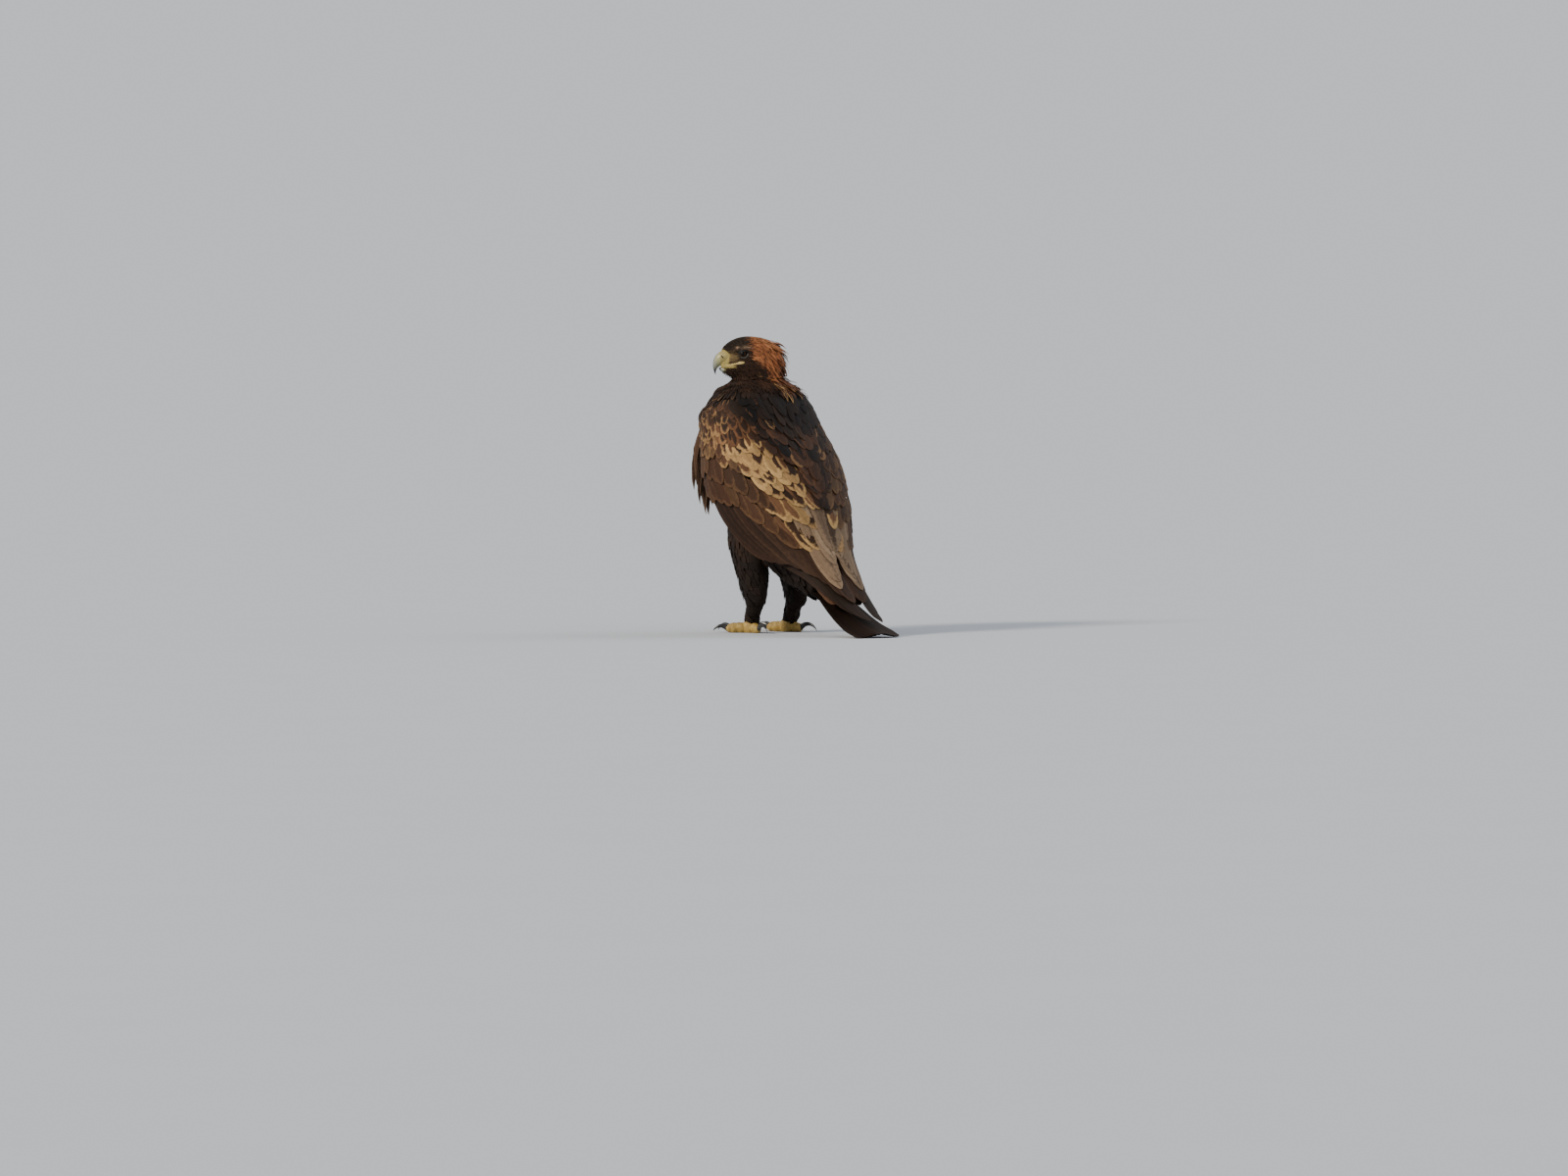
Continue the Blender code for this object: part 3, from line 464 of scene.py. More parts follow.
def vector_attribute(mesh, name, vectors):
    layer = mesh.attributes.new(name, "FLOAT_VECTOR", "POINT")
    layer.data.foreach_set("vector", vectors.astype(np.float32).ravel())


# The skin


def ring_angles(count):
    return np.arange(count) * 360.0 / count


COAT_DEPTH = 0.0045
SKIN_VOXEL = 0.0028
WING_BACK = Curve([0.015, 0.06, 0.12, 0.25, 0.36, 0.46], [36, 22, 9, 2, 2, 2])
WING_FRONT = Curve([0.015, 0.06, 0.12, 0.20, 0.30, 0.38, 0.46], [104, 122, 124, 117, 104, 88, 68])
WING_DEPTH = Curve([0.015, 0.08, 0.20, 0.30, 0.38, 0.46], [0.030, 0.050, 0.055, 0.055, 0.035, 0.008])

NECK_END = 0.050


def trunk_body():
    around = ring_angles(48)
    rings = [surface(along, around, False, -COAT_DEPTH)[0] for along in np.linspace(0.006, 0.480, 40)]
    return loft("trunk", rings)


def neck_rings(count, around):
    """Rings from inside the head out to the folded wings' upper edge, and in under it. Angle 0 is the nape above
    and the back below."""
    lower, _ = surface(NECK_END, around, True, -0.0020)
    turn = np.radians(around)
    upper = head_point(-0.0052 - 0.0500 * np.cos(turn), 0.0385 * np.sin(turn), HEAD_CUT_Z)
    rings = []
    for share in np.linspace(-0.45, 1, count):
        ring = mix(upper, lower, share)
        middle = ring.mean(0)
        bulge = 0.010 * math.sin(math.pi * max(share, 0) ** 0.8) - 0.0030 * (1 - max(share, 0)) - 0.030 * max(-share, 0)
        rings.append(ring + unit(ring - middle) * bulge)
    rings.append(surface(NECK_END + 0.010, around, True, -0.0060)[0])
    rings.append(surface(NECK_END + 0.035, around, False, -0.0120)[0])
    return rings


def head_body():
    around = ring_angles(40)
    rings = []
    for forward in np.linspace(HEAD_STATIONS[0][0] + 0.0015, FACE_FORWARD - 0.001, 36):
        depth = mix(0.0012, 0.0050, ease(-forward, -0.005, 0.045))
        rings.append(head_surface(forward, around, -depth))
    return loft("head", rings)


def wing_pad(side):
    """The wing under its feathers: a pad on the trunk's side that thins out over the tail."""
    rows, columns = 40, 28
    along = np.linspace(0.018, 0.460, rows)[:, None]
    share = np.linspace(0, 1, columns)[None, :]
    angle = mix(WING_BACK(along), WING_FRONT(along), share) * side
    along, angle = np.broadcast_arrays(along, angle)
    low, _ = surface(along, angle, False, 0.002)
    sunk = mix(-0.0045, -0.0135, ease(along, 0.06, 0.20)) - 0.008 * ease(along, 0.27, 0.36)
    high, out = surface(along, angle, True, sunk)
    rise = ease(share, 0.0, 0.25) * ease(1 - share, -0.02, 0.22)
    rise = np.where(share < 0.5, mix(rise, 1.0, ease(along, 0.10, 0.16)), rise)
    rise = mix(rise * ease(along, 0.0, 0.06), 1.0, ease(along, 0.33, 0.40))
    outer = mix(low, high, rise[..., None])
    inner = outer - out * (WING_DEPTH(along) * (0.5 + 0.5 * np.sin(math.pi * share)))[..., None]
    points = np.concatenate([outer.reshape(-1, 3), inner.reshape(-1, 3)])
    beyond = rows * columns
    faces = []
    for i in range(rows - 1):
        for j in range(columns - 1):
            a, b = i * columns + j, (i + 1) * columns + j
            faces.append((a, a + 1, b + 1, b))
            faces.append((a + beyond, b + beyond, b + 1 + beyond, a + 1 + beyond))
    rim = list(range(columns)) + [i * columns + columns - 1 for i in range(1, rows)]
    rim += [(rows - 1) * columns + j for j in range(columns - 2, -1, -1)]
    rim += [i * columns for i in range(rows - 2, 0, -1)]
    for k, a in enumerate(rim):
        b = rim[(k + 1) % len(rim)]
        faces.append((b, a, a + beyond, b + beyond))
    return outwards(mesh_object("wing_pad", points, faces))


def limb_rings(profile, side, count, shrink, around):
    """Level rings of a leg, drawn in by the coat's depth."""
    curve = Curve(range(len(profile)), profile)
    turn = np.radians(around)
    rings = []
    for where in np.linspace(0, len(profile) - 1, count):
        x, y, z, half_x, half_y = curve(where)
        ring = np.zeros((len(around), 3))
        ring[:, 0] = x * side + (half_x - shrink) * np.cos(turn)
        ring[:, 1] = y + (half_y - shrink) * np.sin(turn)
        ring[:, 2] = z
        rings.append(ring)
    return rings


# The ridge over each eye, from behind it to the bill: its height and how far it stands out
BROW = Curve([0.002, 0.014, 0.028, 0.044, 0.060], [
    (0.5505, 0.0002), (0.5532, 0.0030), (0.5540, 0.0050), (0.5505, 0.0034), (0.5460, 0.0002),
])


def eye_opening(side):
    centre = head_point(EYE_FORWARD - 0.0006, side * (EYE_SIDE + 0.004), EYE_Z)
    return ball("eye_opening", centre, (0.0098, 0.0130, 0.0074), (AHEAD, LEFT, UP))


def spot_share(forward, height, centre, sizes):
    """1 at a place of the face and falling off around it."""
    return np.exp(-(((forward - centre[0]) / sizes[0]) ** 2) - ((height - centre[1]) / sizes[1]) ** 2)


def sculpt(skin):
    """Shapes the brows, the hollows of the eyes and lores, the cheeks and the jaw."""
    points = points_of(skin.data)
    normals = np.empty(points.size, np.float32)
    skin.data.vertices.foreach_get("normal", normals)
    forward, side = head_place(points)
    height = points[:, 2]
    brow = BROW(forward)
    rise = brow[:, 1] * np.exp(-(((height - brow[:, 0]) / 0.0034) ** 2)) * ease(forward, 0.0, 0.010)
    rise -= 0.0026 * spot_share(forward, height, (EYE_FORWARD, EYE_Z), (0.0120, 0.0085))
    rise -= 0.0016 * spot_share(forward, height, (0.0450, 0.5400), (0.0090, 0.0065))
    rise += 0.0016 * spot_share(forward, height, (0.0020, 0.5250), (0.0140, 0.0110))
    jaw = np.exp(-(((height - mix(0.5235, 0.5180, ease(forward, 0.02, 0.06))) / 0.0040) ** 2))
    rise += 0.0010 * jaw * ease(forward, 0.020, 0.034)
    rise *= ease(np.abs(side), 0.010, 0.019) * ease(height, 0.500, 0.510) * (forward < FACE_FORWARD)
    points += normals.reshape(-1, 3) * rise[:, None]
    # The face narrows to the bill
    narrow = 0.24 * ease(forward, 0.044, 0.058) * ease(height, 0.505, 0.514)
    points -= LEFT * (side * narrow)[:, None]
    skin.data.vertices.foreach_set("co", points.astype(np.float32).ravel())
    skin.data.update()


def build_skin():
    """One closed skin under the whole coat."""
    around = ring_angles(40)
    pieces = [trunk_body(), head_body(), wing_pad(1), wing_pad(-1), loft("neck", neck_rings(16, around))]
    for side in (1, -1):
        pieces.append(loft("thigh", limb_rings(THIGH, side, 16, 0.0055, around)))
        pieces.append(loft("tarsus", limb_rings(TARSUS, side, 8, 0.0020, around)))
    skin = joined("skin", pieces)
    change = skin.modifiers.new("whole", "REMESH")
    change.mode = "VOXEL"
    change.voxel_size = SKIN_VOXEL
    change = skin.modifiers.new("smooth", "SMOOTH")
    change.factor = 0.5
    change.iterations = 10
    baked(skin)
    skin.data.shade_smooth()
    sculpt(skin)
    cut(skin, [eye_opening(1), eye_opening(-1)])
    skin.data.shade_smooth()
    return skin


class Ground:
    """Finds the nearest places of the skin."""

    def __init__(self, skin):
        mesh = skin.data
        mesh.calc_loop_triangles()
        corners = np.empty(len(mesh.loop_triangles) * 3, np.int32)
        mesh.loop_triangles.foreach_get("vertices", corners)
        self.points = points_of(mesh)
        self.faces = corners.reshape(-1, 3)
        self.tree = BVHTree.FromPolygons(self.points.tolist(), self.faces.tolist())
        normals = np.empty(len(mesh.vertices) * 3, np.float32)
        mesh.vertices.foreach_get("normal", normals)
        self.normals = normals.reshape(-1, 3).astype(float)

    def nearest(self, points):
        """The nearest place of the skin to each point, and the way out there."""
        found = np.empty_like(points)
        face = np.empty(len(points), int)
        for i, point in enumerate(points.tolist()):
            spot, _, index, _ = self.tree.find_nearest(point)
            found[i] = spot
            face[i] = index
        return found, unit(self.normals[self.faces[face]].mean(1))

    def scatter(self, spacing_at, dice, tries=5.0):
        """Roots spread over the skin. spacing_at gives the spacing at each point, 0 for none."""
        a, b, c = (self.points[self.faces[:, k]] for k in range(3))
        area = np.linalg.norm(np.cross(b - a, c - a), axis=1) / 2
        middle = (a + b + c) / 3
        spacing = spacing_at(middle)
        weight = np.where(spacing > 0, area / np.maximum(spacing, 1e-4) ** 2, 0.0)
        count = int(weight.sum() * tries)
        chosen = dice.choice(len(weight), count, p=weight / weight.sum())
        u, v = dice.random(count), dice.random(count)
        over = u + v > 1
        u[over], v[over] = 1 - u[over], 1 - v[over]
        spots = a[chosen] + (b - a)[chosen] * u[:, None] + (c - a)[chosen] * v[:, None]
        near = spacing[chosen]
        tree = KDTree(count)
        for i, spot in enumerate(spots.tolist()):
            tree.insert(spot, i)
        tree.balance()
        alive = np.ones(count, bool)
        for i in range(count):
            if not alive[i]:
                continue
            for _, j, _ in tree.find_range(spots[i].tolist(), near[i] * 0.86):
                if j > i:
                    alive[j] = False
        return spots[alive]


# Feathers


class Shape:
    """The outline and fineness of one kind of feather."""

    def __init__(self, outline, sections, columns, thickness=0.0005, camber=0.06, fray=0.05):
        self.curve = Curve([p[0] for p in outline], [p[1] for p in outline])
        # Sections lie closer together towards the tip
        self.shares = 1 - (1 - np.linspace(0, 1, sections)) ** 1.35
        self.widths = np.maximum(self.curve(self.shares), 0.02)
        self.columns = np.linspace(-1, 1, columns)
        self.thickness = thickness
        self.camber = camber
        self.fray = fray

    def faces(self):
        """The triangles of one closed vane: its top, its underside and its two ends."""
        wide = len(self.columns)
        ring = 2 * wide - 2
        found = []
        for i in range(len(self.shares) - 1):
            for j in range(ring):
                a, b = i * ring + j, i * ring + (j + 1) % ring
                found += [(a, b, b + ring), (a, b + ring, a + ring)]
        for start, turned in ((0, True), ((len(self.shares) - 1) * ring, False)):
            for j in range(1, ring - 1):
                corner = (start, start + j, start + j + 1)
                found.append(corner[::-1] if turned else corner)
        return np.array(found)


COVERT_OUTLINE = [(0, 0.42), (0.25, 0.88), (0.52, 1.0), (0.76, 0.90), (0.89, 0.66), (0.965, 0.34), (1, 0.06)]
FLIGHT_OUTLINE = [(0, 0.50), (0.30, 0.92), (0.65, 1.0), (0.88, 0.86), (0.96, 0.55), (1, 0.12)]
PRIMARY_OUTLINE = [(0, 0.60), (0.30, 1.0), (0.60, 0.90), (0.85, 0.62), (0.96, 0.36), (1, 0.08)]
TAIL_OUTLINE = [(0, 0.45), (0.30, 0.85), (0.70, 1.0), (0.93, 0.90), (0.985, 0.55), (1, 0.15)]
HACKLE_OUTLINE = [(0, 0.50), (0.30, 1.0), (0.60, 0.82), (0.85, 0.42), (1, 0.04)]
BRISTLE_OUTLINE = [(0, 0.60), (0.40, 1.0), (0.75, 0.62), (1, 0.05)]
BODY_OUTLINE = [(0, 0.45), (0.35, 0.95), (0.65, 1.0), (0.88, 0.66), (1, 0.10)]

SHAPES = {
    "primary": Shape(PRIMARY_OUTLINE, 30, 9, 0.0006, 0.05, 0.04),
    "flight": Shape(FLIGHT_OUTLINE, 28, 9, 0.0006, 0.05, 0.05),
    "covert": Shape(COVERT_OUTLINE, 16, 9, 0.0004, 0.08, 0.14),
    "small_covert": Shape(COVERT_OUTLINE, 11, 7, 0.0003, 0.09, 0.20),
    "tail": Shape(TAIL_OUTLINE, 34, 9, 0.0005, 0.03, 0.03),
    "lance": Shape(HACKLE_OUTLINE, 14, 7, 0.0004, 0.10, 0.20),
    "hackle": Shape(HACKLE_OUTLINE, 9, 5, 0.0003, 0.12, 0.14),
    "body": Shape(BODY_OUTLINE, 9, 5, 0.0003, 0.10, 0.22),
    "tiny": Shape(BRISTLE_OUTLINE, 5, 3, 0.0001, 0.25, 0.10),
}
BAKE_PATCH = 0.003


def vanes(name, shape, grid, outs, colours, patch, dice):
    """A mesh of closed vanes. grid holds their upper faces: vane, section, column. colours holds, for each
    vane, its centre's and its margin's colour with how wide the margin and the tip's margin are. patch is the
    place of each root on an unwrap of the skin."""
    count, sections, wide = grid.shape[:3]
    shape_faces = shape.faces()
    under = grid[:, :, 1:-1] - outs[:, :, 1:-1] * shape.thickness
    ring = np.concatenate([grid, under[:, :, ::-1]], axis=2)
    points = ring.reshape(-1, 3)
    per_vane = sections * ring.shape[2]
    faces = (shape_faces[None] + (np.arange(count) * per_vane)[:, None, None]).reshape(-1, 3)
    made = mesh_object(name, points, faces)
    made.data.set_sharp_from_angle(angle=math.radians(75))
    across = np.concatenate([shape.columns, shape.columns[1:-1][::-1]])
    lie = np.empty((count, sections, len(across), 3))
    lie[..., 0] = across
    lie[..., 1] = shape.shares[None, :, None]
    lie[..., 2] = dice.random(count)[:, None, None]
    vector_attribute(made.data, "lie", lie.reshape(-1, 3))
    centre, margin = colours
    colour_attribute(made.data, "centre", np.repeat(centre, per_vane, axis=0))
    colour_attribute(made.data, "margin", np.repeat(margin, per_vane, axis=0))
    spread = np.stack([lie[..., 0] * 0.5, lie[..., 1] - 0.5], -1) * BAKE_PATCH
    places = (patch[:, None, None] + spread).reshape(-1, 2)
    corners = np.clip(places, 0.0, 1.0)[faces.ravel()]
    layer = made.data.uv_layers.new(name="OFBake")
    layer.data.foreach_set("uv", corners.astype(np.float32).ravel())
    return made


def frayed(shape, count, dice):
    """Half widths along each vane as shares, with small notches, separately for its two edges."""
    notch = dice.random((count, len(shape.shares), 2)) ** 3 * shape.fray
    return shape.widths[None, :, None] * (1 - notch)


def ways_across(spine, outs):
    ahead = np.gradient(spine, axis=1)
    return unit(np.cross(outs, ahead))


def vane_grid(shape, spine, outs, half_width, dice, roll=0.08):
    """Vanes about given middle lines: count x sections x columns points, and the ways out of them."""
    across = ways_across(spine, outs)
    widths = frayed(shape, len(spine), dice) * half_width[:, None, None]
    columns = shape.columns[None, None, :]
    reach = np.where(columns < 0, widths[..., :1], widths[..., 1:]) * columns
    hump = shape.camber * half_width[:, None, None] * (1 - columns**2) * shape.widths[None, :, None]
    hump = hump + 0.0002 * np.exp(-((columns / 0.12) ** 2)) + reach * dice.normal(0, roll, (len(spine), 1, 1))
    grid = spine[:, :, None] + across[:, :, None] * reach[..., None] + outs[:, :, None] * hump[..., None]
    return grid, np.broadcast_to(outs[:, :, None], grid.shape)


def body_patch(along, angle):
    """Where a place of the trunk or the wings is on their unwrap, as seen flat from the back's middle line."""
    return np.stack([0.5 + np.asarray(angle) / 400.0, 0.04 + np.asarray(along) * 1.35], -1)


def wing_vanes(name, shape_name, roots, tips, half_width, lifts, tilt, colours, side, dice, sink=0.004):
    """Vanes that follow the folded wings' surface. roots and tips are rows of (along, angle). Each vane's front
    edge lies over the next vane's back edge."""
    shape = SHAPES[shape_name]
    shares = shape.shares[None, :]
    count = len(roots)
    along = mix(roots[:, :1], tips[:, :1], shares)
    bow = np.sin(math.pi * shares) * dice.normal(0, 0.6, (count, 1))
    angle = (mix(roots[:, 1:], tips[:, 1:], shares) + bow) * side
    lift = mix(lifts[:, :1], lifts[:, 1:], ease(shares, 0.10, 1.15)) - sink * (1 - ease(shares, 0, 0.15))
    lift = lift + dice.normal(0, 0.0003, (count, 1)) * shares
    spine, outs = surface(along, angle, True, lift)
    across = ways_across(spine, outs)
    widths = frayed(shape, count, dice) * half_width[:, None, None]
    columns = shape.columns[None, None, :]
    reach = np.where(columns < 0, widths[..., :1], widths[..., 1:]) * columns
    flat = spine[:, :, None] + across[:, :, None] * reach[..., None]
    lean = dice.normal(tilt, 0.0003, (count, 1, 1))
    rise = -lean * columns * side * shape.widths[None, :, None]
    rise = rise + shape.camber * half_width[:, None, None] * (1 - columns**2) * shape.widths[None, :, None] * 0.5
    rise = rise + 0.00025 * np.exp(-((columns / 0.12) ** 2))
    high = np.broadcast_to(along[:, :, None], flat.shape[:3])
    grid, ways = onto_surface(flat, True, lift[:, :, None] + rise, high)
    patch = body_patch(roots[:, 0], roots[:, 1] * side)
    return vanes(name, shape, grid, ways, colours, patch, dice)


def laid_vanes(name, shape_name, ground, roots, length, half_width, stand, loose, colours, patch, dice, stray=0.10):
    """Vanes that grow on the skin and follow its lie. stand is how high their tips stand, loose is how far they
    leave the skin for a straight line, as a share, and stray is how much their ways differ."""
    shape = SHAPES[shape_name]
    spot, out = ground.nearest(roots)
    spots, outs = [spot], [out]
    way = unit(lie_at(spot, out) + dice.normal(0, stray, spot.shape))
    first = way
    straight = [spot]
    for step in np.diff(shape.shares):
        way = unit(0.35 * way + 0.65 * lie_at(spot, out))
        way = unit(way - out * (way * out).sum(-1, keepdims=True))
        spot, out = ground.nearest(spot + way * (length * step)[:, None])
        spots.append(spot)
        outs.append(unit(out + 0.6 * outs[-1]))
        straight.append(straight[-1] + first * (length * step)[:, None])
    spine, outs, straight = (np.stack(rows, 1) for rows in (spots, outs, straight))
    spine = mix(spine, straight, loose[:, None, None] * shape.shares[None, :, None])
    rise = stand[:, None] * ease(shape.shares, 0.05, 1.1)[None, :] * 1.15 - 0.0012 * (shape.shares == 0)[None, :]
    spine = spine + outs * (rise + 0.0002)[..., None]
    grid, ways = vane_grid(shape, spine, outs, half_width, dice)
    return vanes(name, shape, grid, ways, colours, patch, dice)


def lie_at(points, out):
    """The way feathers lie at points of the skin."""
    forward, side = head_place(points)
    height = points[:, 2]
    along, centre, back = body_place(points, np.full(len(points), 0.15), 5)
    _, down, _ = body_frame(along)
    nape = ease(-forward, -0.020, 0.045)
    droop = mix(0.20, 2.2, nape) + 1.6 * ease(-height, -0.515, -0.495)
    head_way = -AHEAD * 1.0 - UP * droop[:, None]
    trunk = ease(-height, -0.500, -0.470)[:, None]
    way = mix(unit(head_way), down, trunk)
    leg = (ease(-height, -0.20, -0.14) * ease(-along, -0.30, -0.22))[:, None]
    way = mix(way, np.array((0.0, 0.06, -1.0)), leg)
    way = way - out * (way * out).sum(-1, keepdims=True)
    return unit(way)


# Materials


def shader_material(name, roughness, specular=0.5):
    made = bpy.data.materials.new(name)
    made.use_nodes = True
    shader = made.node_tree.nodes["Principled BSDF"]
    shader.inputs["Roughness"].default_value = roughness
    shader.inputs["Specular IOR Level"].default_value = specular
    return made, made.node_tree, shader


class Wiring:
    """Short ways to add and join a material's nodes."""

    def __init__(self, tree):
        self.tree = tree

    def node(self, kind, **settings):
        made = self.tree.nodes.new(kind)
        for key, value in settings.items():
            setattr(made, key, value)
        return made

    def link(self, out, into):
        self.tree.links.new(out, into)

    def feed(self, into, value):
        """Sets a socket to a number or colour, or links an output to it."""
        if isinstance(value, bpy.types.NodeSocket):
            self.link(value, into)
        elif isinstance(value, tuple):
            into.default_value = (*value, 1.0)
        else:
            into.default_value = value

    def math(self, operation, a, b=None):
        made = self.node("ShaderNodeMath", operation=operation)
        self.feed(made.inputs[0], a)
        if b is not None:
            self.feed(made.inputs[1], b)
        return made.outputs[0]

    def step(self, value, low, high):
        """0 below low, 1 above high and smooth between."""
        made = self.node("ShaderNodeMapRange", interpolation_type="SMOOTHSTEP")
        self.feed(made.inputs["Value"], value)
        self.feed(made.inputs["From Min"], low)
        self.feed(made.inputs["From Max"], high)
        return made.outputs["Result"]

    def mix(self, share, a, b, blend_type="MIX"):
        made = self.node("ShaderNodeMix", data_type="RGBA", blend_type=blend_type)
        self.feed(made.inputs[0], share)
        self.feed(made.inputs[6], a)
        self.feed(made.inputs[7], b)
        return made.outputs[2]

    def shaded(self, colour, tone):
        """A colour times a number."""
        grey = self.node("ShaderNodeCombineColor")
        for socket in grey.inputs:
            self.link(tone, socket)
        return self.mix(1.0, colour, grey.outputs["Color"], "MULTIPLY")

    def parts(self, attribute):
        """The three numbers of a vector attribute."""
        source = self.node("ShaderNodeAttribute", attribute_name=attribute)
        made = self.node("ShaderNodeSeparateXYZ")
        self.link(source.outputs["Vector"], made.inputs[0])
        return tuple(made.outputs)

    def noise(self, scale, detail=3.0, where=None):
        made = self.node("ShaderNodeTexNoise")
        made.inputs["Scale"].default_value = scale
        made.inputs["Detail"].default_value = detail
        if where is not None:
            self.link(where, made.inputs["Vector"])
        return made.outputs["Fac"]

    def place(self):
        return self.node("ShaderNodeTexCoord").outputs["Object"]

    def bump(self, height, strength, distance, shader):
        made = self.node("ShaderNodeBump")
        made.inputs["Strength"].default_value = strength
        made.inputs["Distance"].default_value = distance
        self.link(height, made.inputs["Height"])
        self.link(made.outputs["Normal"], shader.inputs["Normal"])


def plumage(name, barbs, roughness=0.65):
    """Feathers: a centre and a margin from each vane's own colours, a shaft, and fine slanting barbs."""
    made, tree, shader = shader_material(name, roughness, 0.11)
    w = Wiring(tree)
    across, share, chance = w.parts("lie")
    side = w.math("ABSOLUTE", across)
    centre = w.node("ShaderNodeAttribute", attribute_name="centre")
    margin = w.node("ShaderNodeAttribute", attribute_name="margin")
    clouds = w.noise(170.0, 3.0, w.place())
    # The centre's colour fills an oval that leaves the margin's width at the sides and at the tip
    broad = w.math("DIVIDE", side, w.math("SUBTRACT", 1.0, centre.outputs["Alpha"]))
    past = w.math("MAXIMUM", w.math("SUBTRACT", share, 0.45), 0.0)
    far = w.math("DIVIDE", past, w.math("MULTIPLY", 0.55, w.math("SUBTRACT", 1.0, margin.outputs["Alpha"])))
    off = w.math("SQRT", w.math("ADD", w.math("MULTIPLY", broad, broad), w.math("MULTIPLY", far, far)))
    off = w.math("ADD", off, w.math("MULTIPLY", w.math("SUBTRACT", clouds, 0.5), 0.70))
    colour = w.mix(w.step(off, 0.78, 1.16), centre.outputs["Color"], margin.outputs["Color"])
    slant = w.math("ADD", w.math("MULTIPLY", share, barbs), w.math("MULTIPLY", side, -barbs * 0.16))
    line = w.math("SINE", w.math("MULTIPLY", slant, math.tau))
    fleck = w.noise(900.0, 2.0, w.place())
    tone = w.math("ADD", w.math("MULTIPLY", line, 0.06), w.math("MULTIPLY", fleck, 0.40))
    tone = w.math("ADD", tone, w.math("MULTIPLY", chance, 0.28))
    tone = w.math("ADD", tone, w.math("MULTIPLY", clouds, 0.55))
    colour = w.shaded(colour, w.math("ADD", tone, 0.38))
    shaft = w.step(side, 0.055, 0.015)
    w.link(w.mix(w.math("MULTIPLY", shaft, 0.45), colour, DARK), shader.inputs["Base Color"])
    height = w.math("ADD", w.math("MULTIPLY", line, 0.4), w.math("MULTIPLY", shaft, 1.2))
    w.bump(height, 0.22, 0.0002, shader)
    return made


def skin_material():
    """Bare skin and down between the feathers, in the coat's colours with their painted shade."""
    made, tree, shader = shader_material("skin_down", 0.8, 0.15)
    w = Wiring(tree)
    tint = w.node("ShaderNodeAttribute", attribute_name="markings_and_painted_shade")
    grain = w.noise(600.0, 4.0, w.place())
    w.link(w.shaded(tint.outputs["Color"], w.math("ADD", w.math("MULTIPLY", grain, 0.9), 0.5)), shader.inputs["Base Color"])
    w.bump(grain, 0.5, 0.0008, shader)
    return made


def bare_skin(name, colour, deep, roughness=0.45):
    """Waxy bare skin, with soft patches of a deeper colour."""
    made, tree, shader = shader_material(name, roughness, 0.4)
    w = Wiring(tree)
    patches = w.noise(420.0, 3.0, w.place())
    grain = w.noise(2600.0, 2.0, w.place())
    w.link(w.mix(w.step(patches, 0.30, 0.75), deep, colour), shader.inputs["Base Color"])
    w.bump(w.math("ADD", grain, patches), 0.25, 0.0003, shader)
    return made


def horn_material():
    """Pale yellow-green horn that turns blue-grey and then black towards the hook and along the ridge."""
    made, tree, shader = shader_material("bill_horn", 0.30, 0.4)
    w = Wiring(tree)
    share, height, _ = w.parts("horn")
    streak = w.noise(260.0, 4.0, w.place())
    bent = w.math("ADD", share, w.math("MULTIPLY", w.math("SUBTRACT", streak, 0.5), 0.20))
    colour = w.mix(w.step(bent, 0.30, 0.56), (0.36, 0.34, 0.17), (0.26, 0.27, 0.20))
    colour = w.mix(w.step(bent, 0.58, 0.76), colour, (0.065, 0.068, 0.068))
    colour = w.mix(w.step(bent, 0.72, 0.85), colour, (0.012, 0.012, 0.013))
    ridge = w.math("ADD", height, w.math("MULTIPLY", share, 0.22))
    colour = w.mix(w.step(ridge, 0.98, 1.08), colour, (0.022, 0.023, 0.025))
    w.link(colour, shader.inputs["Base Color"])
    w.bump(streak, 0.12, 0.0004, shader)
    return made


def eye_material():
    """A black pupil, a dark brown iris with fine rays, and a wet gloss."""
    made, tree, shader = shader_material("eye", 0.04, 0.14)
    w = Wiring(tree)
    away, turn, _ = w.parts("gaze")
    stretched = w.node("ShaderNodeCombineXYZ")
    w.link(w.math("MULTIPLY", turn, 4.0), stretched.inputs[0])
    w.link(away, stretched.inputs[1])
    rays = w.noise(9.0, 3.0, stretched.outputs[0])
    iris = w.mix(rays, (0.020, 0.008, 0.003), (0.070, 0.028, 0.008))
    colour = w.mix(w.step(away, 0.50, 0.55), (0.0005, 0.0005, 0.0005), iris)
    colour = w.mix(w.step(away, 0.80, 0.92), colour, (0.004, 0.003, 0.002))
    w.link(colour, shader.inputs["Base Color"])
    return made


def talon_material():
    """Glossy black horn, a little greyer and lined lengthways near its root."""
    made, tree, shader = shader_material("talon_black", 0.24, 0.5)
    w = Wiring(tree)
    share, _, _ = w.parts("horn")
    lines = w.noise(500.0, 3.0, w.place())
    colour = w.mix(w.step(share, 0.0, 0.45), (0.035, 0.032, 0.029), (0.006, 0.006, 0.0065))
    w.link(w.mix(w.math("MULTIPLY", lines, 0.5), colour, (0.018, 0.017, 0.016)), shader.inputs["Base Color"])
    w.bump(lines, 0.15, 0.0003, shader)
    return made


